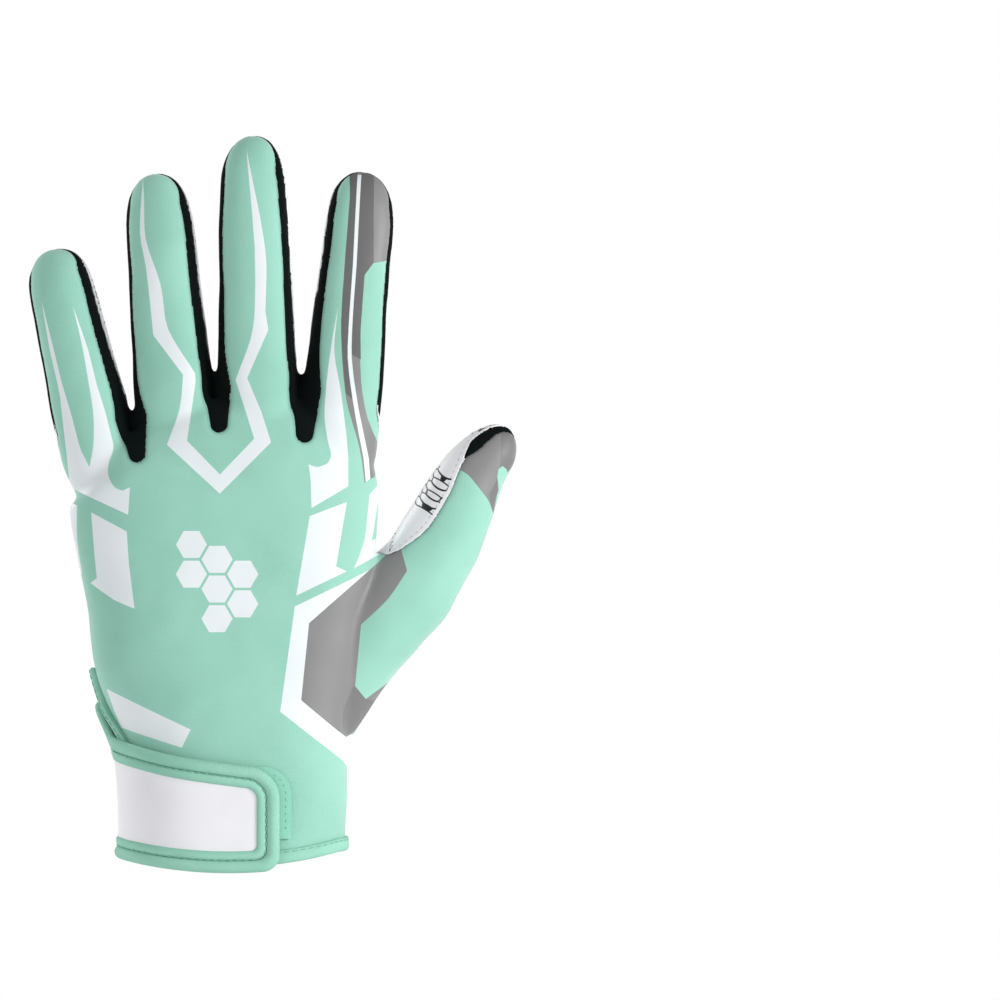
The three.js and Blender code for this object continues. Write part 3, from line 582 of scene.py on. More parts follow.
class Skin:
    """The glove's outer face as one mesh, divided along its seams."""

    def __init__(self, form: HandForm, voxel: float = 1.0) -> None:
        """Keep the form.

        Args:
            form: Form of the hand.
            voxel: Size of the remeshed faces.
        """
        self.form = form
        self.voxel = voxel
        self.bm = bmesh.new()

    def build(self) -> None:
        """Join the tubes of palm, fingers and thumb into one smooth mesh, cut along the seams."""
        bodies = [self.form.body_rings(72), self.form.thumb_rings(44)]
        bodies += [finger.rings(40) for finger in self.form.fingers.values()]
        rough = bmesh.new()
        for rings in bodies:
            add_loft(rough, rings)
        bmesh.ops.recalc_face_normals(rough, faces=rough.faces)
        self.bm = self.remeshed(rough)
        self.relax(14, -0.53)
        self.relax(3, 0.0)
        self.fold()
        self.refine(1.3)
        self.relax(1, 0.0)
        for seam in (self.form.knit_field, self.form.jersey_field, self.form.thumb_panel_field):
            self.cut(seam)
        self.cut(lambda p: p[:, 2] - self.form.rim_height(p[:, 0]) - 0.4)
        self.cut(self.form.vent_field)
        self.pinch(0.3, 0.75)

    def remeshed(self, rough: bmesh.types.BMesh) -> bmesh.types.BMesh:
        """Union of closed tubes as one mesh of even quads."""
        mesh = bpy.data.meshes.new("rough")
        rough.to_mesh(mesh)
        rough.free()
        carrier = bpy.data.objects.new("rough", mesh)
        bpy.context.scene.collection.objects.link(carrier)
        remesh = carrier.modifiers.new("union", "REMESH")
        remesh.mode = "VOXEL"
        remesh.voxel_size = self.voxel
        graph = bpy.context.evaluated_depsgraph_get()
        result = bpy.data.meshes.new_from_object(carrier.evaluated_get(graph))
        bm = bmesh.new()
        bm.from_mesh(result)
        bpy.data.objects.remove(carrier)
        bpy.data.meshes.remove(mesh)
        bpy.data.meshes.remove(result)
        return bm

    def relax(self, steps: int, rebound: float) -> None:
        """Smooth the mesh.

        Args:
            steps: Number of passes.
            rebound: Negative share that each pass swells back, or 0 to let it shrink.
        """
        points = coordinates(self.bm)
        self.bm.verts.index_update()
        ends = np.array([(e.verts[0].index, e.verts[1].index) for e in self.bm.edges])
        count = np.bincount(ends.ravel(), minlength=len(points))
        for share in [0.5, rebound] * steps:
            if share == 0.0:
                continue
            mean = np.empty_like(points)
            for axis in range(3):
                column = points[:, axis]
                total = np.bincount(ends[:, 0], column[ends[:, 1]], len(points))
                total += np.bincount(ends[:, 1], column[ends[:, 0]], len(points))
                mean[:, axis] = total / count
            points += share * (mean - points)
        place(self.bm, points)

    def fold(self) -> None:
        """Lay soft wrinkles into the cloth."""
        self.bm.normal_update()
        points = coordinates(self.bm)
        normals = np.array([vert.normal for vert in self.bm.verts])
        lift = np.array([noise.noise(Vector(p) * 0.045) * 0.5 + noise.noise(Vector(p) * 0.11) * 0.18 for p in points])
        place(self.bm, points + normals * lift[:, None])

    def seam_distance(self, points: Points) -> np.ndarray:
        """Distance to the nearest seam."""
        knit = self.form.knit_field(points)
        jersey = self.form.jersey_field(points)
        thumb = self.form.thumb_panel_field(points)
        outside = knit > 0
        nearest = np.abs(knit)
        nearest = np.where(outside, np.minimum(nearest, np.abs(jersey)), nearest)
        return np.where(outside & (jersey > 0), np.minimum(nearest, np.abs(thumb)), nearest)

    def refine(self, reach: float) -> None:
        """Halve the faces near seams and cut edges."""
        points = coordinates(self.bm)
        self.bm.verts.index_update()
        near = self.seam_distance(points) < reach
        near |= np.abs(self.form.vent_field(points)) < reach
        edges = [e for e in self.bm.edges if near[e.verts[0].index] and near[e.verts[1].index]]
        bmesh.ops.subdivide_edges(self.bm, edges=edges, cuts=1, use_grid_fill=True)

    def cut(self, seam: Field, snap: float = 0.18) -> None:
        """Give the mesh edges along the zero line of a field.

        Args:
            seam: Field whose zero line is the seam.
            snap: Share of an edge within which its end is moved to the line instead.
        """
        bm = self.bm
        bm.verts.index_update()
        points = coordinates(bm)
        value = seam(points)
        edges, verts = list(bm.edges), list(bm.verts)
        ends = np.array([(e.verts[0].index, e.verts[1].index) for e in edges])

        def crossings() -> tuple[np.ndarray, np.ndarray]:
            first, second = value[ends[:, 0]], value[ends[:, 1]]
            hit = np.nonzero(first * second < 0)[0]
            return hit, first[hit] / (first[hit] - second[hit])

        on_line = {}
        for k, t in zip(*crossings()):
            for i, j, share in ((ends[k, 0], ends[k, 1], t), (ends[k, 1], ends[k, 0], 1 - t)):
                if share < snap and i not in on_line:
                    verts[i].co = Vector(points[i] + (points[j] - points[i]) * share)
                    on_line[i] = verts[i]
        value[list(on_line)] = 0
        line = list(on_line.values())
        for k, t in zip(*crossings()):
            line.append(bmesh.utils.edge_split(edges[k], verts[ends[k, 0]], t)[1])
        bmesh.ops.connect_verts(bm, verts=line)

    def pinch(self, depth: float, width: float) -> None:
        """Draw the cloth in along its seams."""
        self.bm.normal_update()
        points = coordinates(self.bm)
        normals = np.array([vert.normal for vert in self.bm.verts])
        pull = depth * np.exp(-((self.seam_distance(points) / width) ** 2))
        place(self.bm, points - normals * pull[:, None])

    def labels(self) -> np.ndarray:
        """Name of the piece that each face belongs to, or an empty one below the rim or in the vent."""
        centres = np.array([face.calc_center_median() for face in self.bm.faces])
        knits = self.form.knit_fields(centres)
        names = np.where(self.form.thumb_panel_field(centres) < 0, "thumb_front_panel", "palm_panel").astype("U32")
        names[self.form.jersey_field(centres) < 0] = "back_panel"
        for name, value in knits.items():
            names[value < 0] = name
        gone = centres[:, 2] < self.form.rim_height(centres[:, 0]) + 0.4
        names[gone | (self.form.vent_field(centres) < 0)] = ""
        return names

    def panels(self) -> dict[str, bmesh.types.BMesh]:
        """The cut pieces, each as a mesh of its own without thickness."""
        names = self.labels()
        result = {}
        for name in sorted(set(names) - {""}):
            piece = self.bm.copy()
            piece.faces.ensure_lookup_table()
            others = [piece.faces[i] for i in np.nonzero(names != name)[0]]
            bmesh.ops.delete(piece, geom=others, context="FACES")
            keep_largest(piece)
            result[name] = piece
        return result


def keep_largest(bm: bmesh.types.BMesh) -> None:
    """Delete all but the largest connected part of a mesh."""
    bm.verts.index_update()
    seen: set[int] = set()
    parts: list[list[bmesh.types.BMVert]] = []
    for start in bm.verts:
        if start.index in seen:
            continue
        seen.add(start.index)
        part, stack = [], [start]
        while stack:
            vert = stack.pop()
            part.append(vert)
            for edge in vert.link_edges:
                other = edge.other_vert(vert)
                if other.index not in seen:
                    seen.add(other.index)
                    stack.append(other)
        parts.append(part)
    parts.sort(key=len)
    loose = [vert for part in parts[:-1] for vert in part]
    bmesh.ops.delete(bm, geom=loose, context="VERTS")


def edge_band(bm: bmesh.types.BMesh, distance: np.ndarray, width: float, lift: float) -> None:
    """Raise a panel's cloth beside its seams.

    Args:
        bm: The panel.
        distance: Distance of each vertex from the nearest seam.
        width: Width of the raised band.
        lift: Its height at the seam.
    """
    bm.normal_update()
    normals = np.array([vert.normal for vert in bm.verts])
    rise = lift * (1 - smooth_step(0, width, distance))
    place(bm, coordinates(bm) + normals * rise[:, None])


def inside(outline: Points, flat: Points) -> np.ndarray:
    """Which points lie inside a closed outline."""
    hit = np.zeros(len(flat), bool)
    for (x0, z0), (x1, z1) in zip(outline, np.roll(outline, -1, axis=0)):
        spans = (z0 > flat[:, 1]) != (z1 > flat[:, 1])
        cross = x0 + (flat[:, 1] - z0) * (x1 - x0) / (z1 - z0 if z1 != z0 else 1e-9)
        hit ^= spans & (flat[:, 0] < cross)
    return hit


def rounded(outline: Sequence[tuple[float, float]], step: float = 2.5, corner: float = 42.0) -> Points:
    """Outline with a smooth curve through its points between its sharp corners.

    Args:
        outline: Corner points.
        step: Greatest length of the new pieces.
        corner: Turn in degrees from which a point stays a sharp corner.

    Returns:
        The points of the finer outline.
    """
    points = np.array(outline, float)
    count = len(points)
    back = points - np.roll(points, 1, axis=0)
    ahead = np.roll(points, -1, axis=0) - points
    turn = np.arctan2(back[:, 0] * ahead[:, 1] - back[:, 1] * ahead[:, 0], (back * ahead).sum(1))
    sharp = np.abs(turn) > math.radians(corner)
    result = []
    for i in range(count):
        j = (i + 1) % count
        a, b = points[i], points[j]
        slope_a = ahead[i] if sharp[i] else (points[j] - points[i - 1]) / 2
        slope_b = ahead[i] if sharp[j] else (points[(j + 1) % count] - a) / 2
        limit = np.linalg.norm(b - a)
        slope_a = slope_a * min(1, limit / max(np.linalg.norm(slope_a), 1e-6))
        slope_b = slope_b * min(1, limit / max(np.linalg.norm(slope_b), 1e-6))
        steps = max(1, int(limit / step))
        for t in np.arange(steps) / steps:
            h = t * t * (3 - 2 * t)
            result.append(a + (b - a) * h + slope_a * t * (1 - t) ** 2 + slope_b * t * t * (t - 1))
    return simplified(np.array(result), 0.07)


def simplified(outline: Points, slack: float) -> Points:
    """Closed outline without the points that lie within a distance of the line between others."""
    count = len(outline)
    closed = np.concatenate([outline, outline[:1]])
    far = int(np.argmax(np.linalg.norm(outline - outline[0], axis=1)))
    keep, spans = {0, far}, [(0, far), (far, count)]
    while spans:
        low, high = spans.pop()
        if high - low < 2:
            continue
        a, b = closed[low], closed[high]
        run = (b - a) / max(np.linalg.norm(b - a), 1e-9)
        rel = closed[low + 1:high] - a
        off = np.abs(rel[:, 0] * run[1] - rel[:, 1] * run[0])
        if off.max() > slack:
            middle = low + 1 + int(np.argmax(off))
            keep.add(middle)
            spans += [(low, middle), (middle, high)]
    return outline[sorted(keep - {count})]


class PrintCutter:
    """Cuts the outlines of prints into a panel, seen from the back or from the palm."""

    def __init__(self, bm: bmesh.types.BMesh, cell: float = 2.0) -> None:
        """Sort the panel's faces into cells.

        Args:
            bm: The panel.
            cell: Size of a cell.
        """
        self.bm = bm
        self.cell = cell
        self.cells: dict[tuple[int, int], set[bmesh.types.BMFace]] = {}
        for face in bm.faces:
            self.store(face)

    def key(self, x: float, z: float) -> tuple[int, int]:
        """Cell of a point."""
        return math.floor(x / self.cell), math.floor(z / self.cell)

    def store(self, face: bmesh.types.BMFace) -> None:
        """Put a face into its cell."""
        centre = face.calc_center_median()
        self.cells.setdefault(self.key(centre.x, centre.z), set()).add(face)

    def near(self, start: Points, end: Points) -> set[bmesh.types.BMFace]:
        """Faces close to a straight line."""
        run = end - start
        length = float(np.linalg.norm(run))
        keys = set()
        for t in np.linspace(0, 1, max(2, int(length / self.cell * 2) + 2)):
            i, j = self.key(*(start + run * t))
            keys |= {(i + a, j + b) for a in (-1, 0, 1) for b in (-1, 0, 1)}
        found = set()
        along = run / max(length, 1e-9)
        for face in set().union(*(self.cells.get(key, set()) for key in keys)):
            rel = np.array(face.calc_center_median().xz) - start
            t = min(max(float(rel @ along), 0), length)
            if np.linalg.norm(rel - along * t) < 1.4:
                found.add(face)
        return found

    def cut(self, outline: Points) -> None:
        """Cut one closed outline."""
        for start, end in zip(outline, np.roll(outline, -1, axis=0)):
            run = end - start
            if np.linalg.norm(run) < 1e-3:
                continue
            faces = self.near(start, end)
            parts = set(faces)
            for face in faces:
                parts.update(face.edges)
                parts.update(face.verts)
            made = bmesh.ops.bisect_plane(
                self.bm, geom=list(parts), dist=1e-3,
                plane_co=(start[0], 0, start[1]), plane_no=(run[1], 0, -run[0]),
            )["geom"]
            for item in made:
                if isinstance(item, bmesh.types.BMFace) and item not in faces:
                    self.store(item)

    def paint(self, prints: Sequence[tuple[int, Points]]) -> None:
        """Cut outlines and give the faces in them their slots, later ones over earlier ones.

        Args:
            prints: Slot and outline of each print.
        """
        for _, outline in prints:
            self.cut(outline)
        faces = list(self.bm.faces)
        centres = np.array([face.calc_center_median() for face in faces])[:, [0, 2]]
        slots = np.zeros(len(faces), int)
        for slot, outline in prints:
            slots[inside(outline, centres)] = slot
        for face, slot in zip(faces, slots.tolist()):
            face.material_index = slot


def thicken(piece: bpy.types.Object, thickness: float) -> None:
    """Give a panel its cloth's thickness, towards the hand."""
    solid = piece.modifiers.new("thickness", "SOLIDIFY")
    solid.thickness = thickness * MM
    solid.offset = -1
    solid.use_even_offset = True
    solid.thickness_clamp = 0.8


def shade_smooth(piece: bpy.types.Object, angle: float = 50.0) -> None:
    """Smooth shading with sharp edges where faces meet at more than an angle."""
    mesh = piece.data
    mesh.shade_smooth()
    mesh.set_sharp_from_angle(angle=math.radians(angle))


# Prints on the back, seen from there, as [x, z] corners. The flag says whether the corners between
# sharp ones are joined by curves.
PRINTS: dict[str, tuple[Ink, bool, list[tuple[float, float]]]] = {
    "little_fork": (Ink.WHITE, True, [
        (-57.0, 164.8), (-54.5, 150.4), (-51.5, 137.4), (-50.5, 129.5), (-49.0, 115.6), (-48.5, 108.8),
        (-30.4, 100.6), (-29.9, 108.8), (-32.1, 107.8), (-34.6, 108.8), (-36.6, 112.6), (-36.4, 116.5),
        (-35.1, 120.5), (-36.1, 125.5), (-37.6, 131.5), (-40.1, 139.4), (-42.6, 149.4), (-47.4, 163.1),
        (-44.6, 151.4), (-42.6, 140.4), (-41.1, 130.5), (-41.1, 121.5), (-42.3, 114.8), (-45.1, 120.5),
        (-47.5, 129.5), (-50.5, 139.4), (-53.5, 151.4),
    ]),
    "little_block": (Ink.WHITE, False, [
        (-41.6, 101.3), (-30.8, 95.6), (-30.1, 85.7), (-28.4, 72.6), (-34.6, 75.2), (-41.9, 80.2),
        (-39.9, 81.7), (-40.6, 88.7),
    ]),
    "little_slim": (Ink.WHITE, False, [
        (-50.9, 105.5), (-46.0, 103.4), (-46.0, 92.7), (-44.5, 82.7), (-50.9, 86.7),
    ]),
    "knuckle_band": (Ink.WHITE, False, [
        (-26.7, 201.9), (-27.4, 185.2), (-25.6, 175.3), (-24.1, 163.3), (-23.2, 154.3), (-14.2, 142.4),
        (-15.2, 132.4), (-18.9, 121.5), (-3.0, 106.9), (12.2, 122.2), (9.2, 131.5), (5.0, 141.4),
        (11.3, 155.8), (10.4, 161.3), (10.7, 175.3), (9.2, 187.2), (4.5, 210.1), (6.4, 190.2),
        (7.3, 177.2), (6.7, 156.3), (1.5, 140.9), (7.2, 123.3), (-3.0, 112.6), (-12.9, 122.7),
        (-10.5, 140.4), (-10.7, 142.9), (-18.8, 156.3), (-21.0, 169.3), (-25.6, 183.2), (-26.2, 195.2),
    ]),
    "index_spike": (Ink.WHITE, True, [
        (32.0, 162.3), (31.0, 149.4), (33.0, 137.4), (35.0, 120.5), (35.2, 109.1), (24.3, 102.6),
        (24.1, 110.6), (23.4, 115.7), (26.1, 114.8), (29.1, 116.0), (30.1, 118.3), (29.1, 122.5),
        (28.1, 129.5), (28.6, 139.4), (30.1, 151.4),
    ]),
    "index_band": (Ink.GREY, False, [
        (35.2, 204.6), (35.5, 195.2), (34.0, 175.3), (33.0, 155.4), (34.5, 135.4), (38.5, 120.5),
        (40.0, 110.1), (43.0, 112.0), (44.2, 121.5), (40.9, 129.5), (39.0, 140.4), (38.8, 155.4),
        (40.0, 172.3), (42.0, 175.7), (46.5, 176.7), (50.5, 177.6), (50.5, 205.5),
    ]),
    "index_line": (Ink.WHITE, False, [
        (37.8, 202.6), (36.5, 175.3), (35.5, 161.4), (35.0, 147.4), (36.9, 132.4), (39.7, 117.6),
        (40.4, 110.4), (41.7, 111.3), (41.2, 117.6), (38.2, 132.4), (36.2, 147.4), (36.6, 161.4),
        (37.6, 175.3), (39.0, 202.6),
    ]),
    "index_block": (Ink.WHITE, False, [
        (23.8, 100.2), (34.8, 104.4), (31.6, 85.2), (34.7, 83.7), (19.8, 76.5),
    ]),
    "index_slim": (Ink.WHITE, False, [
        (41.5, 106.6), (43.9, 109.4), (44.3, 106.8), (42.7, 96.0), (42.0, 92.7), (45.9, 95.0),
        (49.4, 91.5), (37.0, 84.7), (40.0, 92.7),
    ]),
    "thumb_band": (Ink.WHITE, False, [
        (19.4, 73.3), (43.9, 85.3), (49.0, 90.2), (50.0, 86.0), (29.5, 63.0), (27.1, 48.0),
        (36.1, 34.5), (37.9, 36.6), (40.4, 29.4), (36.1, 22.5), (33.5, 27.2), (15.1, 42.0),
    ]),
    "thumb_grey": (Ink.GREY, False, [
        (23.6, 68.3), (43.9, 86.2), (48.0, 90.2), (50.5, 91.5), (52.7, 83.8), (46.9, 75.3),
        (39.0, 67.8), (37.2, 49.4), (40.3, 45.4), (45.4, 49.1), (49.9, 52.2), (49.9, 45.0),
        (40.0, 37.2), (34.5, 34.0), (21.3, 45.4),
    ]),
    "wrist_block": (Ink.WHITE, False, [
        (-37.1, 48.6), (-11.5, 36.7), (-14.2, 31.3), (-32.6, 37.0), (-34.6, 41.5),
    ]),
    # The fold-shade outlines are painted shade: darker grey laid over the grey print where the cloth folds, not prints
    # of their own.
    "index_left_fold_shade": (Ink.GREY_PAINTED_SHADE, False, [
        (35.2, 204.6), (35.5, 195.2), (34.0, 175.3), (33.0, 155.4), (34.4, 137.0), (36.4, 135.0),
        (35.0, 147.4), (35.5, 161.4), (36.5, 175.3), (37.8, 204.0),
    ]),
    "index_right_fold_shade": (Ink.GREY_PAINTED_SHADE, False, [
        (39.0, 204.6), (37.6, 175.3), (36.6, 161.4), (36.2, 148.5), (38.9, 147.0), (38.8, 155.4),
        (40.0, 172.3), (42.7, 176.0), (42.7, 205.0),
    ]),
    # Painted shade on the fold of the thumb's grey band.
    "thumb_fold_shade": (Ink.GREY_PAINTED_HALF_SHADE, False, [
        (36.8, 49.6), (33.4, 41.0), (34.0, 34.3), (40.4, 38.0), (44.0, 44.4), (40.3, 45.4),
    ]),
    "thumb_tip": (Ink.GREY, True, [
        (68.2, 114.3), (69.1, 120.0), (74.0, 126.0), (80.5, 129.0), (88.0, 127.5), (88.0, 120.0),
        (85.0, 116.1), (80.5, 109.5), (78.5, 100.6), (77.1, 104.7), (74.0, 108.8), (71.2, 112.3),
    ]),
    # Painted shade on part of the thumb tip's grey print.
    "thumb_tip_fold_shade": (Ink.GREY_PAINTED_HALF_SHADE, False, [
        (81.0, 126.6), (88.0, 126.6), (88.0, 119.0), (85.0, 116.1), (80.5, 109.5), (78.4, 100.9),
        (77.2, 106.8), (80.2, 112.8),
    ]),
    "thumb_drop": (Ink.BARE, True, [
        (79.7, 112.0), (80.0, 114.2), (81.2, 115.2), (82.5, 114.3), (82.8, 111.4), (81.6, 108.6), (80.2, 107.0),
    ]),
}


def linear(code: int) -> tuple[float, float, float, float]:
    """Linear colour of a screen colour such as 0x80ff00."""
    parts = [(code >> shift & 255) / 255 for shift in (16, 8, 0)]
    return (*(c / 12.92 if c <= 0.04045 else ((c + 0.055) / 1.055) ** 2.4 for c in parts), 1.0)


class NodeKit:
    """Short ways to add nodes to a tree."""

    def __init__(self, tree: bpy.types.NodeTree) -> None:
        """Keep the tree."""
        self.tree = tree

    def node(self, kind: str, inputs: dict | None = None, **settings: object) -> bpy.types.Node:
        """Add a node.

        Args:
            kind: Type of the node without its common prefix.
            inputs: Values or sockets for its inputs, by name or number.
            settings: Its properties.

        Returns:
            The node.
        """
        made = self.tree.nodes.new("ShaderNode" + kind)
        for name, value in settings.items():
            setattr(made, name, value)
        for name, value in (inputs or {}).items():
            if isinstance(value, bpy.types.NodeSocket):
                self.tree.links.new(value, made.inputs[name])
            else:
                made.inputs[name].default_value = value
        return made

    def math(self, operation: str, *values: object) -> bpy.types.NodeSocket:
        """Number made from numbers or sockets by one operation."""
        return self.node("Math", dict(enumerate(values)), operation=operation).outputs[0]

    def vector(self, operation: str, *values: object, scale: object = None) -> bpy.types.NodeSocket:
        """Vector, or number for DOT_PRODUCT, made from vectors or sockets by one operation."""
        inputs = dict(enumerate(values))
        if scale is not None:
            inputs["Scale"] = scale
        made = self.node("VectorMath", inputs, operation=operation)
        return made.outputs["Value" if operation in ("DOT_PRODUCT", "LENGTH") else "Vector"]

    def range(self, value: object, low: object, high: object, start: object = 0.0, end: object = 1.0) -> bpy.types.NodeSocket:
        """Number carried smoothly from one range to another."""
        names = {"Value": value, "From Min": low, "From Max": high, "To Min": start, "To Max": end}
        return self.node("MapRange", names, interpolation_type="SMOOTHSTEP").outputs[0]

    def mix(self, share: object, first: object, second: object) -> bpy.types.NodeSocket:
        """Colour between two colours."""
        made = self.node("Mix", data_type="RGBA")
        for index, value in ((0, share), (6, first), (7, second)):
            if isinstance(value, bpy.types.NodeSocket):
                self.tree.links.new(value, made.inputs[index])
            else:
                made.inputs[index].default_value = value
        return made.outputs[2]


def new_group(name: str, inputs: dict[str, object], outputs: dict[str, str]) -> tuple[NodeKit, bpy.types.Node, bpy.types.Node]:
    """Start a node group with named sockets.

    Args:
        name: Name of the group.
        inputs: First value of each input by name, None for a vector.
        outputs: Type of each output by name.

    Returns:
        A kit for the group's tree, its input node and its output node.
    """
    tree = bpy.data.node_groups.new(name, "ShaderNodeTree")
    for label, value in inputs.items():
        kind = "NodeSocketVector" if value is None else "NodeSocketFloat"
        socket = tree.interface.new_socket(label, in_out="INPUT", socket_type=kind)
        if value is not None:
            socket.default_value = value
    for label, kind in outputs.items():
        tree.interface.new_socket(label, in_out="OUTPUT", socket_type="NodeSocket" + kind)
    return NodeKit(tree), tree.nodes.new("NodeGroupInput"), tree.nodes.new("NodeGroupOutput")


class Effects:
    """Node groups that the materials share."""

    def __init__(self) -> None:
        """Build each group once."""
        self.knit = self.build_knit()
        self.patina = self.build_patina()
        self.grip = self.build_grip()

    @staticmethod
    def build_knit() -> bpy.types.NodeTree:
        """Rows of fine knitted loops: their height and the shade between them."""
        kit, given, out = new_group(
            "Knit", {"Place": None, "Wale": 0.6, "Course": 0.5}, {"Height": "Float", "Shade": "Float"}
        )
        place_socket = given.outputs["Place"]
        wobble = kit.node("TexNoise", {"Vector": place_socket, "Scale": 0.35, "Detail": 2.0}).outputs["Color"]
        moved = kit.vector("ADD", place_socket, kit.vector("SCALE", wobble, scale=0.8))
        split = kit.node("SeparateXYZ", {0: moved}).outputs
        across = kit.math("DIVIDE", split[0], given.outputs["Wale"])
        loop = kit.math("ABSOLUTE", kit.math("SINE", kit.math("MULTIPLY", across, math.pi)))
        rise = kit.math("ADD", kit.math("DIVIDE", split[2], given.outputs["Course"]), kit.math("MULTIPLY", loop, 0.35))
        row = kit.math("ABSOLUTE", kit.math("SINE", kit.math("MULTIPLY", rise, math.pi)))
        height = kit.math("ADD", kit.math("MULTIPLY", row, 0.6), kit.math("MULTIPLY", loop, 0.4))
        kit.tree.links.new(height, out.inputs["Height"])
        kit.tree.links.new(kit.range(height, 0.0, 0.75), out.inputs["Shade"])
        return kit.tree

    @staticmethod
    def build_patina() -> bpy.types.NodeTree:
        """Slow unevenness of a surface and fine specks."""
        kit, given, out = new_group("Patina", {"Place": None, "Size": 25.0}, {"Slow": "Float", "Fine": "Float"})
        size = kit.math("DIVIDE", 1.0, given.outputs["Size"])
        slow = kit.node("TexNoise", {"Vector": given.outputs["Place"], "Scale": size, "Detail": 3.0}).outputs[0]
        fine = kit.node("TexNoise", {"Vector": given.outputs["Place"], "Scale": 2.2, "Detail": 4.0}).outputs[0]
        kit.tree.links.new(slow, out.inputs["Slow"])
        kit.tree.links.new(fine, out.inputs["Fine"])
        return kit.tree

    @staticmethod
    def build_grip() -> bpy.types.NodeTree:
        """Printed grip: hexagon outlines in patches that lean one way and then the other."""
        kit, given, out = new_group(
            "Grip", {"Place": None, "Column": 3.05, "Row": 1.95, "Line": 0.22}, {"Ink": "Float"}
        )
        root3 = math.sqrt(3)
        flat = kit.node("SeparateXYZ", {0: given.outputs["Place"]}).outputs
        stretch = kit.math("DIVIDE", given.outputs["Column"], root3 / 2)
        u = kit.math("DIVIDE", flat[0], stretch)
        v = kit.math("DIVIDE", flat[1], given.outputs["Row"])
        point = kit.node("CombineXYZ", {0: u, 1: v}).outputs[0]
        period, half = (root3, 1.0, 1.0), (root3 / 2, 0.5, 0.5)
        first = kit.vector("SUBTRACT", kit.vector("WRAP", point, period, (0, 0, 0)), half)
        second = kit.vector("SUBTRACT", kit.vector("WRAP", kit.vector("SUBTRACT", point, half), period, (0, 0, 0)), half)
        flatten = (1.0, 1.0, 0.0)
        first, second = kit.vector("MULTIPLY", first, flatten), kit.vector("MULTIPLY", second, flatten)
        nearer = kit.math("LESS_THAN", kit.vector("LENGTH", first), kit.vector("LENGTH", second))
        blend = kit.node("Mix", data_type="VECTOR")
        kit.tree.links.new(nearer, blend.inputs[0])
        kit.tree.links.new(second, blend.inputs[4])
        kit.tree.links.new(first, blend.inputs[5])
        cell = blend.outputs[1]
        centre = kit.vector("SUBTRACT", point, cell)
        best = middle = gap = None
        for normal in ((0.0, 1.0, 0.0), (root3 / 2, 0.5, 0.0), (root3 / 2, -0.5, 0.0)):
            reach = kit.vector("DOT_PRODUCT", cell, normal)
            side = kit.math("SIGN", reach)
            size = kit.math("ABSOLUTE", reach)
            scale = kit.node("CombineXYZ", {0: kit.math("DIVIDE", normal[0], stretch), 1: kit.math("DIVIDE", normal[1], given.outputs["Row"])}).outputs[0]
            away = kit.math("DIVIDE", kit.math("SUBTRACT", 0.5, size), kit.vector("LENGTH", scale))
            spot = kit.vector("SCALE", normal, scale=kit.math("MULTIPLY", side, 0.5))
            if best is None:
                best, middle, gap = size, spot, away
                continue
            wins = kit.math("GREATER_THAN", size, best)
            choose = kit.node("Mix", data_type="VECTOR")
            kit.tree.links.new(wins, choose.inputs[0])
            kit.tree.links.new(middle, choose.inputs[4])
            kit.tree.links.new(spot, choose.inputs[5])
            middle, best = choose.outputs[1], kit.math("MAXIMUM", size, best)
            gap = kit.math("MINIMUM", gap, away)
        line = kit.math("LESS_THAN", gap, given.outputs["Line"])
        spot = kit.node("SeparateXYZ", {0: kit.vector("ADD", centre, middle)}).outputs
        x = kit.math("MULTIPLY", spot[0], stretch)
        z = kit.math("MULTIPLY", spot[1], given.outputs["Row"])
        turn = kit.math("MULTIPLY", kit.math("SUBTRACT", 147.0, z), 2 * math.pi / 168)
        lean = kit.math("MULTIPLY", kit.math("COSINE", turn), 24.0)
        tier = kit.math("FLOOR", kit.math("DIVIDE", z, 10.8))
        phase = kit.math("ADD", kit.math("DIVIDE", kit.math("SUBTRACT", x, lean), 18.0), kit.math("MULTIPLY", tier, 0.5))
        off = kit.math("ABSOLUTE", kit.math("SUBTRACT", kit.math("FRACT", phase), 0.5))
        ragged = kit.node("TexNoise", {"Vector": kit.node("CombineXYZ", {0: x, 1: z}).outputs[0], "Scale": 0.45}).outputs[0]
        patch = kit.math("ADD", off, kit.math("MULTIPLY", kit.math("SUBTRACT", ragged, 0.5), 0.3))
        kit.tree.links.new(kit.math("MULTIPLY", line, kit.math("LESS_THAN", patch, 0.235)), out.inputs["Ink"])
        return kit.tree


class Coordinates(Enum):
    """Where a material reads its pattern's place from."""

    OBJECT = "object"
    CUT = "cut"
    TAPE = "tape"


CUT_SCALE = 400.0
STUDIO_LIGHT = 1.12


def as_seen(code: int) -> tuple[float, float, float, float]:
    """Base colour that shows as a screen colour under the studio's light."""
    red, green, blue, _ = linear(code)
    return red / STUDIO_LIGHT, green / STUDIO_LIGHT, blue / STUDIO_LIGHT, 1.0


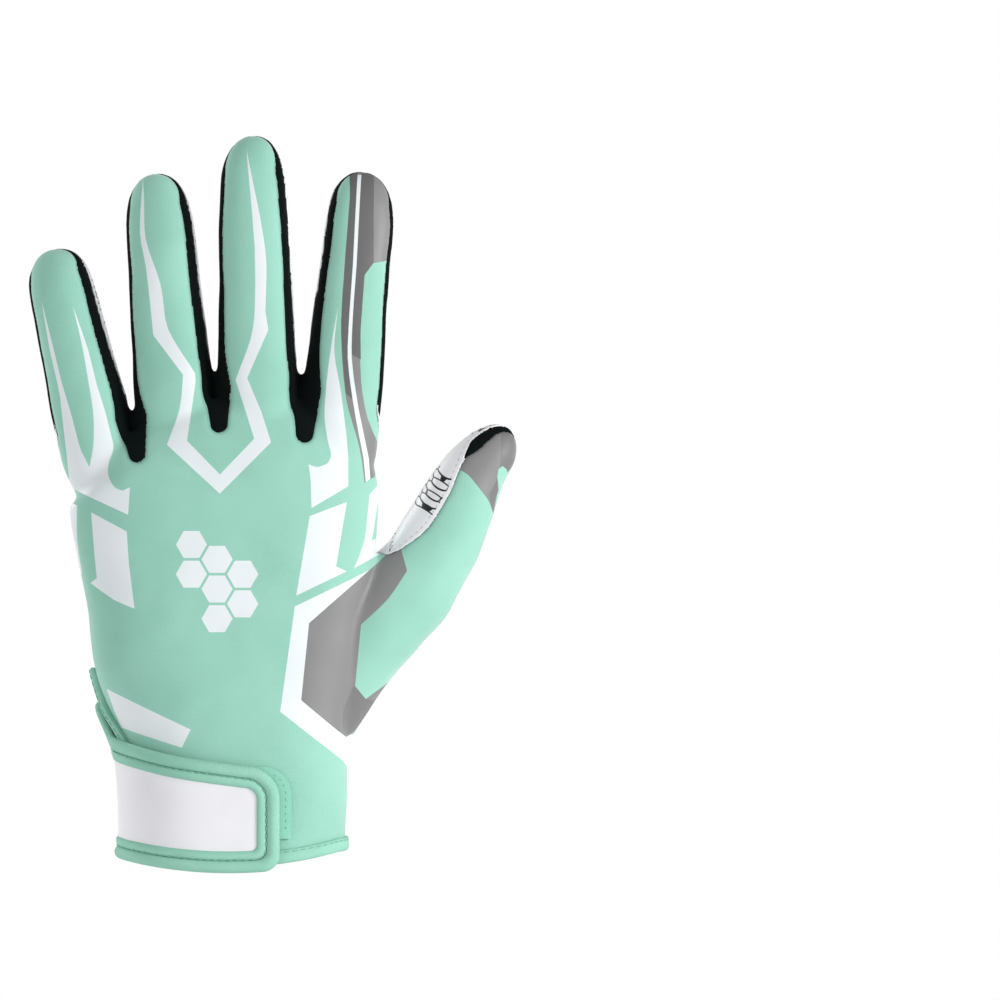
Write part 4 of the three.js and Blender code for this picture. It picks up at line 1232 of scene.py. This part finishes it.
@dataclass(frozen=True)
class Finish:
    """One finish: its colours, its gloss, its relief and the painted shade along its seams."""

    name: str
    color: int
    deep: int
    roughness: float
    relief: float
    sheen: float = 0.0
    coat: float = 0.0
    specular: float = 0.5
    wale: float = 0.6
    course: float = 0.5
    knit: float = 1.0
    place: Coordinates = Coordinates.OBJECT
    grip: bool = False
    # Share of painted shade that darkens the colour near the seams.
    seam: float = 0.0

    def place_socket(self, kit: NodeKit) -> bpy.types.NodeSocket:
        """Place of the pattern in millimetres."""
        if self.place is Coordinates.CUT:
            uv = kit.node("UVMap", uv_map="cut").outputs[0]
            return kit.vector("SCALE", kit.vector("SUBTRACT", uv, (0.5, 0.2, 0)), scale=CUT_SCALE)
        if self.place is Coordinates.TAPE:
            along = kit.node("Attribute", attribute_name="along").outputs["Fac"]
            across = kit.node("Attribute", attribute_name="across").outputs["Fac"]
            return kit.node("CombineXYZ", {0: along, 2: across}).outputs[0]
        return kit.vector("SCALE", kit.node("TexCoord").outputs["Object"], scale=1000.0)

    def material(self, effects: Effects) -> bpy.types.Material:
        """Build the finish's material.

        Args:
            effects: The shared node groups.

        Returns:
            The material.
        """
        made = bpy.data.materials.new(self.name)
        made.use_nodes = True
        kit = NodeKit(made.node_tree)
        shader = made.node_tree.nodes["Principled BSDF"]
        place_socket = self.place_socket(kit)
        patina = kit.node("Group", node_tree=effects.patina)
        kit.tree.links.new(place_socket, patina.inputs["Place"])
        knit = kit.node("Group", node_tree=effects.knit)
        kit.tree.links.new(place_socket, knit.inputs["Place"])
        knit.inputs["Wale"].default_value = self.wale
        knit.inputs["Course"].default_value = self.course
        slow = kit.range(patina.outputs["Slow"], 0.35, 0.7)
        shade = kit.math("MULTIPLY", kit.math("SUBTRACT", 1.0, knit.outputs["Shade"]), 0.8 * self.knit)
        share = kit.math("MAXIMUM", kit.math("MULTIPLY", slow, 0.5), shade)
        color = kit.mix(share, as_seen(self.color), as_seen(self.deep))
        height = kit.math("ADD", kit.math("MULTIPLY", knit.outputs["Height"], self.knit), kit.math("MULTIPLY", patina.outputs["Fine"], 0.6))
        rough = kit.range(patina.outputs["Fine"], 0.3, 0.7, self.roughness - 0.06, self.roughness + 0.06)
        # Painted shade: the colour darkens within about a millimetre of a seam, where the seam's groove lies in shade.
        if self.seam:
            edge = kit.node("Attribute", attribute_name="edge").outputs["Fac"]
            painted_seam_shade = kit.math("MULTIPLY", kit.range(edge, 1.1, 0.0), self.seam)
            color = kit.mix(painted_seam_shade, color, tuple(part * 0.45 for part in as_seen(self.deep)[:3]) + (1.0,))
        if self.grip:
            grip = kit.node("Group", node_tree=effects.grip)
            for name, value in (("Column", 3.05), ("Row", 1.95), ("Line", 0.22)):
                grip.inputs[name].default_value = value
            kit.tree.links.new(place_socket, grip.inputs["Place"])
            far = kit.node("Attribute", attribute_name="edge").outputs["Fac"]
            ink = kit.math("MULTIPLY", grip.outputs["Ink"], kit.math("GREATER_THAN", far, 0.9))
            color = kit.mix(ink, color, linear(0x0B0C0E))
            height = kit.math("ADD", height, kit.math("MULTIPLY", ink, 0.8))
            stitch = self.stitches(kit, place_socket)
            color = kit.mix(kit.math("MULTIPLY", stitch, 0.45), color, as_seen(0xAAAAAE))
            height = kit.math("SUBTRACT", height, kit.math("MULTIPLY", stitch, 3.0))
        bump = kit.node("Bump", {"Height": height, "Strength": 0.6, "Distance": self.relief * MM})
        kit.tree.links.new(color, shader.inputs["Base Color"])
        kit.tree.links.new(rough, shader.inputs["Roughness"])
        kit.tree.links.new(bump.outputs[0], shader.inputs["Normal"])
        shader.inputs["Specular IOR Level"].default_value = self.specular
        shader.inputs["Sheen Weight"].default_value = self.sheen
        shader.inputs["Sheen Roughness"].default_value = 0.5
        shader.inputs["Coat Weight"].default_value = self.coat
        shader.inputs["Coat Roughness"].default_value = 0.12
        return made

    @staticmethod
    def stitches(kit: NodeKit, place_socket: bpy.types.NodeSocket) -> bpy.types.NodeSocket:
        """Mask of the needle holes just inside the edge of a panel."""
        edge = kit.node("Attribute", attribute_name="edge").outputs["Fac"]
        row = kit.range(kit.math("ABSOLUTE", kit.math("SUBTRACT", edge, 1.35)), 0.34, 0.12)
        flat = kit.node("SeparateXYZ", {0: place_socket}).outputs
        run = kit.math("FRACT", kit.math("DIVIDE", kit.math("ADD", flat[1], kit.math("MULTIPLY", flat[0], 0.4)), 2.0))
        return kit.math("MULTIPLY", row, kit.math("LESS_THAN", run, 0.45))


FINISHES = [
    # seam sets the painted shade near seams, for the jersey and the inks.
    Finish("jersey", 0x99CFBD, 0x84BBA8, 0.85, 0.07, sheen=0.3, specular=0.2, seam=0.5),
    Finish("white ink", 0xE4EAED, 0xD8E0E3, 0.5, 0.05, knit=0.35, specular=0.35, seam=0.3),
    Finish("grey ink", 0x828282, 0x7A7A7A, 0.5, 0.05, knit=0.35, specular=0.35, seam=0.3),
    # Darker copies of the grey ink: painted shade on the folds of the grey print.
    Finish("grey ink painted shade", 0x646464, 0x5C5C5C, 0.5, 0.05, knit=0.35, specular=0.35, seam=0.3),
    Finish("grey ink painted half shade", 0x757575, 0x6D6D6D, 0.5, 0.05, knit=0.35, specular=0.35, seam=0.3),
    Finish("palm leather", 0xF0F0F3, 0xE6E6EA, 0.4, 0.04, knit=0.0, specular=0.4, place=Coordinates.CUT, grip=True),
    Finish("black ink", 0x08090A, 0x050607, 0.2, 0.02, knit=0.0, specular=0.4, coat=0.5),
    Finish("knit", 0x0B1413, 0x040707, 0.95, 0.35, specular=0.08, wale=0.9, course=0.8),
    Finish("mint tape", 0x9AD0BC, 0x7CB6A1, 0.8, 0.14, specular=0.2, wale=0.55, course=9.0, place=Coordinates.TAPE),
    Finish("loop pile", 0x95D3BE, 0x84C0AB, 0.95, 0.08, specular=0.1, wale=0.7, course=0.7),
    Finish("strap satin", 0xEAEAEE, 0xDDDDE2, 0.42, 0.03, knit=0.1, specular=0.4),
    Finish("mint thread", 0x7FBAA4, 0x6AA38E, 0.7, 0.05, specular=0.25, knit=0.2),
]


@dataclass
class Panels:
    """The cloth, leather and knit pieces of the glove."""

    form: HandForm
    materials: dict[str, bpy.types.Material]
    wall: float = 1.1
    pieces: list[bpy.types.Object] = field(default_factory=list)

    def build(self) -> None:
        """Make every panel and report it."""
        skin = Skin(self.form)
        skin.build()
        LOG.info("skin cut along its seams")
        for name, bm in skin.panels().items():
            distance = skin.seam_distance(coordinates(bm))
            finishes = self.finishes(name)
            leather = finishes[0] == "palm leather"
            if leather:
                edge_band(bm, distance, 1.4, 0.35)
            if name == "palm_panel":
                self.print_palm(bm)
            if name == "back_panel":
                self.print_back(bm)
            mark_edge(bm, skin)
            area = sum(face.calc_area() for face in bm.faces) * MM * MM
            piece = to_object(bm, name + "_cloth", [self.materials[key] for key in finishes])
            if leather:
                flatten_to_cut(piece, self.form)
            shade_smooth(piece)
            thicken(piece, self.wall)
            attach(piece, "root")
            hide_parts(name)
            self.pieces.append(piece)
            LOG.info("%s: %d faces, %.6f m2", piece.name, len(piece.data.polygons), area)

    def finishes(self, name: str) -> list[str]:
        """Names of a panel's materials, in the order of its slots."""
        if name == "back_panel":
            return ["jersey", "white ink", "grey ink", "grey ink painted shade", "grey ink painted half shade"]
        if name == "palm_panel":
            return ["palm leather", "black ink"]
        return ["palm leather"] if name == "thumb_front_panel" else ["knit"]

    def print_back(self, bm: bmesh.types.BMesh) -> None:
        """Print the stripes, colour blocks and emblem of the back, and paint shade as darker grey on the folds of the
        grey print.
        """
        prints = []
        for ink, curved, outline in PRINTS.values():
            shape = rounded(outline, 1.2) if curved else rounded(outline, 3.0, 28.0)
            prints.append((ink.value, shape))
        prints += [(Ink.WHITE.value, cell) for cell in honeycomb((-3.75, 78.5), 5.1, 0.8)]
        PrintCutter(bm).paint(prints)

    def print_palm(self, bm: bmesh.types.BMesh) -> None:
        """Print the emblem of the palm."""
        PrintCutter(bm).paint([(1, cell) for cell in honeycomb((-1.6, 76.5), 10.4, 1.3)])


# Cells of the honeycomb emblem, as steps along two of a hexagon grid's directions.
EMBLEM_CELLS = [(0, 0), (1, 0), (0, 1), (1, -1), (-1, 1), (0, -1), (-1, 2)]


def mark_edge(bm: bmesh.types.BMesh, skin: Skin) -> None:
    """Keep each vertex's distance from the nearest seam as an attribute."""
    layer = bm.verts.layers.float.new("edge")
    for vert, value in zip(bm.verts, skin.seam_distance(coordinates(bm))):
        vert[layer] = float(value)


def honeycomb(centre: tuple[float, float], size: float, gap: float) -> list[Points]:
    """Outlines of the emblem's hexagons.

    Args:
        centre: x and z of the first one.
        size: Radius of a grid cell.
        gap: Space between neighbours.

    Returns:
        One outline for each cell.
    """
    angles = np.radians(np.arange(6) * 60)
    radius = size - gap / math.sqrt(3)
    result = []
    for i, j in EMBLEM_CELLS:
        x = centre[0] + size * 1.5 * i
        z = centre[1] + size * math.sqrt(3) * (j + i / 2)
        result.append(np.stack([x + radius * np.cos(angles), z + radius * np.sin(angles)], 1))
    return result


def spread(aside: np.ndarray, drop: np.ndarray) -> np.ndarray:
    """How much further from the middle a point of curved cloth lies once the cloth is flat.

    Args:
        aside: Its distance to the side of the middle, with its sign.
        drop: How far the cloth has fallen away there.

    Returns:
        The distance to add, with its sign.
    """
    return aside * (np.sqrt(1 + np.maximum(drop, 0) ** 2 / (aside ** 2 + 9.0)) - 1)


def flat_cut(form: HandForm, points: Points) -> Points:
    """Places of points on the flat cut of the palm, so that a print isn't stretched at the sides."""
    flat = points[:, [0, 2]].copy()
    middle, y0, _, half = form.body_section(points[:, 2])
    flat[:, 0] += spread(points[:, 0] - middle, y0 + half - points[:, 1])
    for finger in form.fingers.values():
        s, u, v = finger.local(points)
        across = finger.axes()[1][[0, 2]]
        own = points[:, [0, 2]] + np.outer(spread(u, finger.rows.at(s, "deep") * finger.depth / 2 - v), across)
        weight = smooth_step(-0.05, 0.18, s) * (np.abs(u) < finger.width / 2 + 1.5)
        flat += (own - flat) * weight[:, None]
    s, u, v = form.thumb_local(points)
    across = form.thumb_axes()[1][[0, 2]]
    deep = form.thumb.at(np.minimum(s, 0.96), "deep") * form.thumb_depth / 2
    own = points[:, [0, 2]] + np.outer(spread(u, deep - v), across)
    return flat + (own - flat) * form.zone(points)[:, None]


def flatten_to_cut(piece: bpy.types.Object, form: HandForm) -> None:
    """Give a panel a map of its flat cut."""
    mesh = piece.data
    corners = np.empty(len(mesh.loops), int)
    mesh.loops.foreach_get("vertex_index", corners)
    points = np.empty(len(mesh.vertices) * 3)
    mesh.vertices.foreach_get("co", points)
    cut = flat_cut(form, points.reshape(-1, 3) / MM)[corners] / CUT_SCALE + [0.5, 0.2]
    mesh.uv_layers.new(name="cut").uv.foreach_set("vector", cut.ravel())


@dataclass(frozen=True)
class Wrist:
    """Places on the cloth of the wrist, as angles round it and heights."""

    form: HandForm
    power: float = 2.6

    def on_back(self, x: np.ndarray, z: np.ndarray) -> np.ndarray:
        """Angle of a point on the back of the wrist at x and z."""
        middle, _, half, _ = self.form.body_section(z)
        u = np.clip((x - middle) / half, -1, 1)
        c = np.sign(u) * np.abs(u) ** (self.power / 2)
        return np.arctan2(-np.sqrt(1 - c * c), c) % (2 * math.pi)

    def on_side(self, y: np.ndarray, z: np.ndarray) -> np.ndarray:
        """Angle of a point on the little-finger side of the wrist at y and z."""
        _, middle, _, half = self.form.body_section(z)
        v = np.clip((y - middle) / half, -1, 1)
        s = np.sign(v) * np.abs(v) ** (self.power / 2)
        return np.arctan2(s, -np.sqrt(1 - s * s)) % (2 * math.pi)

    def lie(self, angle: np.ndarray, z: np.ndarray, offset: np.ndarray | float) -> Points:
        """Points at an offset from the cloth."""
        return self.form.wrist_point(angle, z, np.broadcast_to(offset, np.shape(angle)))[0]


Route = Callable[[float], tuple[np.ndarray, np.ndarray]]


@dataclass(frozen=True)
class Tape:
    """A tape sewn to the wrist: the outline of its section as (distance from its edge, height) corners."""

    wrist: Wrist
    section: tuple[tuple[float, float], ...]
    flare: float = 0.0

    def add(self, bm: bmesh.types.BMesh, route: Route) -> None:
        """Add the tape to a mesh.

        Args:
            bm: Mesh with float vertex layers for along and across.
            route: Angles and heights of the tape's line at a distance from its edge.
        """
        start = len(bm.verts)
        lines = []
        for across, out in self.section:
            angle, z = route(across)
            lines.append(self.wrist.lie(angle, z, out + self.flare * smooth_step(12.0, 46.0, z)))
        rings = [np.array(ring) for ring in zip(*lines)]
        add_loft(bm, rings)
        steps = np.linalg.norm(np.diff(lines[0], axis=0), axis=1)
        reach = np.concatenate([[0], np.cumsum(steps)])
        bm.verts.ensure_lookup_table()
        along, across = bm.verts.layers.float["along"], bm.verts.layers.float["across"]
        sides = len(self.section)
        for k, vert in enumerate(bm.verts[start:]):
            vert[along] = float(reach[k // sides])
            vert[across] = float(self.section[k % sides][0])


def tape_mesh() -> bmesh.types.BMesh:
    """Empty mesh with the layers of a tape."""
    bm = bmesh.new()
    bm.verts.layers.float.new("along")
    bm.verts.layers.float.new("across")
    return bm


def add_thread(bm: bmesh.types.BMesh, path: Points, pitch: float, length: float, radius: float) -> None:
    """Sew a row of stitches along a path.

    Args:
        bm: Mesh that takes them.
        path: Points of the row.
        pitch: Distance from one stitch to the next.
        length: Length of a stitch.
        radius: Half its thickness.
    """
    reach = np.concatenate([[0], np.cumsum(np.linalg.norm(np.diff(path, axis=0), axis=1))])
    angles = np.linspace(0, 2 * math.pi, 6, endpoint=False)
    for middle in np.arange(pitch / 2, reach[-1] - length / 2, pitch):
        ends = [np.array([np.interp(at, reach, path[:, axis]) for axis in range(3)])
                for at in (middle - length / 2, middle + length / 2)]
        run = ends[1] - ends[0]
        size = np.linalg.norm(run)
        run = run / size
        side = np.cross(run, [0.3, 0.5, 0.81])
        side /= np.linalg.norm(side)
        up = np.cross(run, side)
        rings = []
        for share, thick in ((0.0, 0.35), (0.2, 0.9), (0.5, 1.0), (0.8, 0.9), (1.0, 0.35)):
            centre = ends[0] + run * size * share
            rings.append(centre + radius * thick * (np.cos(angles)[:, None] * side + np.sin(angles)[:, None] * up))
        add_loft(bm, rings)


def finish_piece(
    bm: bmesh.types.BMesh, name: str, material: bpy.types.Material, node: str | None
) -> bpy.types.Object:
    """Turn a mesh into a piece of the glove.

    Args:
        bm: Its mesh.
        name: Its name.
        material: Its finish.
        node: CAD node that it replaces, if any.

    Returns:
        The piece.
    """
    bmesh.ops.recalc_face_normals(bm, faces=bm.faces)
    piece = to_object(bm, name, [material])
    shade_smooth(piece)
    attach(piece, "root")
    if node:
        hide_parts(node)
    LOG.info("%s: %d faces", piece.name, len(piece.data.polygons))
    return piece


@dataclass
class Cuff:
    """Tapes round the rim and the vent."""

    form: HandForm
    materials: dict[str, bpy.types.Material]
    height: float = 4.0
    vent_tape: float = 3.2
    strap_root: float = 35.5

    def rim_route(self, across: float) -> tuple[np.ndarray, np.ndarray]:
        """Line round the rim, from the vent's palm edge over the palm and thumb to its back edge."""
        wrist = Wrist(self.form)
        back, palm = self.form.vent_edges(0.0)
        first = float(wrist.on_side(np.array(palm + 1.0), np.array(0.0)))
        last = float(wrist.on_side(np.array(back - 1.0), np.array(0.0)))
        angle = np.linspace(first, last - 2 * math.pi, 240)
        x = wrist.lie(angle, np.zeros_like(angle), 0.0)[:, 0]
        return angle, self.form.rim_height(x) + across

    def vent_line(self, palm_low: float) -> tuple[Points, Points]:
        """Edge of the vent in y and z and its outward directions, from the rim over its top."""
        back_z = np.linspace(-1.4, self.form.vent_top - 0.6, 70)
        palm_z = np.linspace(self.form.vent_top - 0.6, palm_low, 40)
        back = np.stack([self.form.vent_edges(back_z)[0], back_z], 1)
        palm = np.stack([self.form.vent_edges(palm_z)[1], palm_z], 1)
        turns = np.linspace(math.pi, 0, 14)[1:-1]
        top = np.stack([1.0 + 0.35 * np.cos(turns), self.form.vent_top - 0.3 + 0.35 * np.sin(turns)], 1)
        line = np.concatenate([back, top, palm])
        run = np.gradient(line, axis=0)
        out = np.stack([-run[:, 1], run[:, 0]], 1)
        for _ in range(3):
            out[1:-1] = (out[:-2] + 2 * out[1:-1] + out[2:]) / 4
        return line, out / np.linalg.norm(out, axis=1, keepdims=True)

    def vent_route(self, across: float) -> tuple[np.ndarray, np.ndarray]:
        """Line round the vent at a distance from its edge."""
        line, out = self.vent_line(2.0)
        flat = line + out * across
        return Wrist(self.form).on_side(flat[:, 0], flat[:, 1]), flat[:, 1]

    def build(self) -> None:
        """Make the tapes and their stitches."""
        wrist = Wrist(self.form)
        fold = ((4.0, -1.0), (4.1, 0.35), (3.75, 0.75), (3.3, 0.62), (2.9, 0.85), (1.8, 1.05), (0.7, 0.95),
                (0.1, 0.55), (-0.1, -0.3), (0.0, -1.2), (0.5, -1.8), (3.2, -1.9), (4.0, -1.6))
        bm = tape_mesh()
        Tape(wrist, fold).add(bm, self.rim_route)
        rim = finish_piece(bm, "rim_tape", self.materials["mint tape"], "cuff_binding")
        width = self.vent_tape
        round_fold = ((0.0, -0.6), (0.1, 0.3), (0.5, 0.8), (1.3, 1.05), (width - 1.2, 1.0), (width - 0.5, 0.75),
                      (width, 0.2), (width, -0.8), (width - 0.5, -1.8), (0.6, -1.9), (0.1, -1.4))
        bm = tape_mesh()
        Tape(wrist, round_fold, 1.3).add(bm, self.vent_route)
        finish_piece(bm, "vent_tape", self.materials["mint tape"], "vent_binding")
        bm = bmesh.new()
        angle, z = self.rim_route(3.3)
        add_thread(bm, wrist.lie(angle, z, 0.72), 2.6, 1.9, 0.2)
        angle, z = self.vent_route(width - 0.75)
        add_thread(bm, wrist.lie(angle, z, 0.95 + 1.3 * smooth_step(12.0, 46.0, z)), 2.4, 1.7, 0.17)
        finish_piece(bm, "cuff_stitches", self.materials["mint thread"], None)
        self.rim = rim


STRAP_TOP = Table("x z", [(-60, 37.2), (-36, 35.2), (-29.5, 32.8), (-16.3, 29.2), (6.1, 25.9), (14.6, 24.7), (30, 23.5)])


@dataclass
class Strap:
    """Hook-and-loop strap: loop patch, white face, tape round it and stitches."""

    form: HandForm
    materials: dict[str, bpy.types.Material]
    reach: float = 14.6
    slope: float = 0.19
    curl: float = 9.0
    corner: float = 10.0
    overhang: float = 1.8
    root: float = 5.0
    lift: float = 1.6
    tape: float = 3.75
    piping: float = 6.5

    def top(self, x: np.ndarray | float, y: np.ndarray | float = -9.0) -> np.ndarray | float:
        """Height of the upper edge at x, with its rise round the side of the wrist."""
        return STRAP_TOP.at(x, "z") + self.curl * smooth_step(-7.0, 5.0, y) * (np.asarray(x) < 0)

    def low(self, x: np.ndarray | float) -> np.ndarray | float:
        """Height of the lower edge at x."""
        return self.form.rim_height(x) - self.overhang

    def route(self, inset: float) -> tuple[np.ndarray, np.ndarray]:
        """Line at an inset from the strap's edge, from its root along the top, round the end and back."""
        wrist = Wrist(self.form)
        end = self.reach - inset
        bend = max(self.corner - inset, self.corner / 4)
        small = bend * 0.5
        first = float(wrist.on_side(np.array(self.root), np.array(18.0)))

        def run(edge: Callable[..., np.ndarray], stop: float, count: int) -> tuple[np.ndarray, np.ndarray]:
            last = float(wrist.on_back(np.array(stop), np.array(float(edge(stop)))))
            angle = np.linspace(first, last, count)
            z = np.full(count, float(edge(stop)))
            for _ in range(3):
                z = edge(*wrist.lie(angle, z, 0.0)[:, :2].T)
            return angle, z

        def upper(x: np.ndarray, y: np.ndarray | float = -9.0) -> np.ndarray:
            return self.top(x, y) - inset * math.hypot(1, self.slope)

        def lower(x: np.ndarray, y: np.ndarray | float = -9.0) -> np.ndarray:
            return self.low(x) + inset

        turn = np.linspace(0, math.pi / 2, 14)
        top_angle, top_z = run(upper, end - bend, 90)
        arc_x = end - bend + bend * np.sin(turn)
        arc_z = upper(end - bend) - bend * (1 - np.cos(turn))
        low_x = end - small + small * np.cos(turn)
        low_z = lower(end - small) + small * (1 - np.sin(turn))
        side_z = np.linspace(arc_z[-1], low_z[0], 22)[1:-1]
        x = np.concatenate([arc_x[1:], np.full(20, end), low_x[:-1]])
        z = np.concatenate([arc_z[1:], side_z, low_z[:-1]])
        low_angle, lowest = run(lower, end - small, 90)
        return (
            np.concatenate([top_angle, wrist.on_back(x, z), low_angle[::-1]]),
            np.concatenate([top_z, z, lowest[::-1]]),
        )

    def layer(self, columns: Sequence[tuple[np.ndarray, np.ndarray]], low: float, high: float) -> bmesh.types.BMesh:
        """Sheet between two offsets.

        Args:
            columns: Angles and heights of its columns.
            low: Offset of its inner face.
            high: Offset of its outer face.

        Returns:
            The mesh.
        """
        wrist, bm = Wrist(self.form), bmesh.new()
        rings = []
        for angle, z in columns:
            outer, inner = wrist.lie(angle, z, high), wrist.lie(angle, z, low)
            rings.append(np.concatenate([outer, inner[::-1]]))
        add_loft(bm, rings)
        return bm

    def face_columns(self, inset: float) -> list[tuple[np.ndarray, np.ndarray]]:
        """Columns of the sheet inside the strap's edge."""
        angle, z = self.route(inset)
        half = len(angle) // 2
        columns = []
        for k in range(half):
            share = np.linspace(0, 1, 15)
            columns.append((angle[k] + (angle[-1 - k] - angle[k]) * share, z[k] + (z[-1 - k] - z[k]) * share))
        return columns

    def build(self) -> None:
        """Make the patch, the face, the tape and the stitches."""
        wrist = Wrist(self.form)
        x = np.linspace(-21.3, 18.2, 60)
        columns = []
        for place_x in x:
            corner = 17.5 + math.sqrt(max(8.2**2 - max(place_x - 10.0, 0.0) ** 2, 0.0))
            z = np.linspace(4.3, min(float(self.top(place_x)) + 1.1, corner), 24)
            columns.append((wrist.on_back(np.full(24, place_x), z), z))
        bm = self.layer(columns, 0.2, 1.25)
        self.patch = finish_piece(bm, "loop_patch_cloth", self.materials["loop pile"], "loop_patch")
        bm = self.layer(self.face_columns(self.piping - 0.7), self.lift, self.lift + 1.45)
        self.face = finish_piece(bm, "strap_face", self.materials["strap satin"], "strap_panel")
        base, tape, inner = self.lift, self.tape, self.piping
        outer_fold = ((tape, 0.0), (tape, 1.2), (tape - 0.35, 1.95), (tape - 1.2, 2.45), (1.9, 2.6), (0.9, 2.35),
                      (0.25, 1.75), (0.0, 1.0), (0.1, 0.2), (0.6, 0.0))
        inner_fold = ((inner, 0.2), (inner, 1.5), (inner - 0.35, 1.95), (inner - 1.3, 2.1), (tape + 0.55, 1.95),
                      (tape + 0.1, 1.55), (tape - 0.1, 0.9), (tape - 0.1, 0.2))
        bm = tape_mesh()
        for fold in (outer_fold, inner_fold):
            Tape(wrist, tuple((across, base + out) for across, out in fold)).add(bm, self.route)
        self.edge = finish_piece(bm, "strap_tape", self.materials["mint tape"], "strap_binding")
        bm = bmesh.new()
        angle, z = self.route(tape + 0.12)
        add_thread(bm, wrist.lie(angle, z, base + 1.75), 2.3, 1.5, 0.26)
        turn = np.linspace(0, 1.1, 20)
        x = np.concatenate([np.full(20, 16.6), 10.0 + 6.6 * np.cos(turn)[1:]])
        z = np.concatenate([np.linspace(6.5, 17.5, 20), 17.5 + 6.6 * np.sin(turn)[1:]])
        add_thread(bm, wrist.lie(wrist.on_back(x, z), z, 1.25), 2.1, 0.7, 0.16)
        self.thread = finish_piece(bm, "strap_stitches", self.materials["mint thread"], None)


@dataclass(frozen=True)
class Lamp:
    """A soft studio light."""

    name: str
    place: tuple[float, float, float]
    size: float
    power: float


LAMPS = [
    Lamp("key", (1.7, -0.75, 0.5), 0.6, 31.0),
    Lamp("fill", (-0.9, -1.3, 0.4), 0.9, 5.5),
    Lamp("palm_key", (-1.3, 1.0, 0.7), 0.8, 12.0),
    Lamp("palm_fill", (0.9, 1.3, 0.4), 0.9, 3.0),
]


def set_stage() -> None:
    """Make the floor, the lights and the camera."""
    scene = bpy.context.scene
    bm = bmesh.new()
    bmesh.ops.create_circle(bm, cap_ends=True, segments=64, radius=2.6)
    mesh = bpy.data.meshes.new("floor")
    bm.to_mesh(mesh)
    bm.free()
    floor = bpy.data.objects.new("floor", mesh)
    floor.location = (0, 0, -0.3)
    paint = bpy.data.materials.new("floor paint")
    paint.use_nodes = True
    shader = paint.node_tree.nodes["Principled BSDF"]
    shader.inputs["Base Color"].default_value = (0.93, 0.93, 0.93, 1)
    shader.inputs["Roughness"].default_value = 0.9
    mesh.materials.append(paint)
    scene.collection.objects.link(floor)
    world = bpy.data.worlds.new("studio")
    world.use_nodes = True
    kit = NodeKit(world.node_tree)
    up = kit.node("SeparateXYZ", {0: kit.node("TexCoord").outputs["Generated"]}).outputs[2]
    strength = kit.range(kit.math("ABSOLUTE", up), 0.1, 0.2, 1.0, 0.42)
    kit.tree.links.new(strength, world.node_tree.nodes["Background"].inputs["Strength"])
    world.node_tree.nodes["Background"].inputs["Color"].default_value = (1, 1, 1, 1)
    scene.world = world
    for lamp in LAMPS:
        light = bpy.data.lights.new(lamp.name, "AREA")
        light.size = lamp.size
        light.energy = lamp.power
        holder = bpy.data.objects.new(lamp.name, light)
        holder.location = lamp.place
        holder.rotation_euler = (Vector((0, 0, 0.1)) - holder.location).to_track_quat("-Z", "Y").to_euler()
        scene.collection.objects.link(holder)
    scene.view_settings.view_transform = "Standard"
    camera = bpy.data.cameras.new("camera")
    distance, frame_width, middle_x, middle_z = 2.5, 0.3, 0.0805, 0.105
    camera.sensor_width = 36
    camera.lens = 36 * distance / frame_width
    camera.clip_end = 100
    holder = bpy.data.objects.new("camera", camera)
    holder.location = (middle_x, -distance, middle_z)
    holder.rotation_euler = (math.pi / 2, 0, 0)
    scene.collection.objects.link(holder)
    scene.camera = holder


def main() -> None:
    """Build the glove, piece by piece, and report each one."""
    logging.basicConfig(level=logging.INFO, format="%(message)s")
    set_stage()
    effects = Effects()
    materials = {finish.name: finish.material(effects) for finish in FINISHES}
    form = HandForm()
    Panels(form, materials).build()
    Cuff(form, materials).build()
    Strap(form, materials).build()


if __name__ == "__main__":
    main()
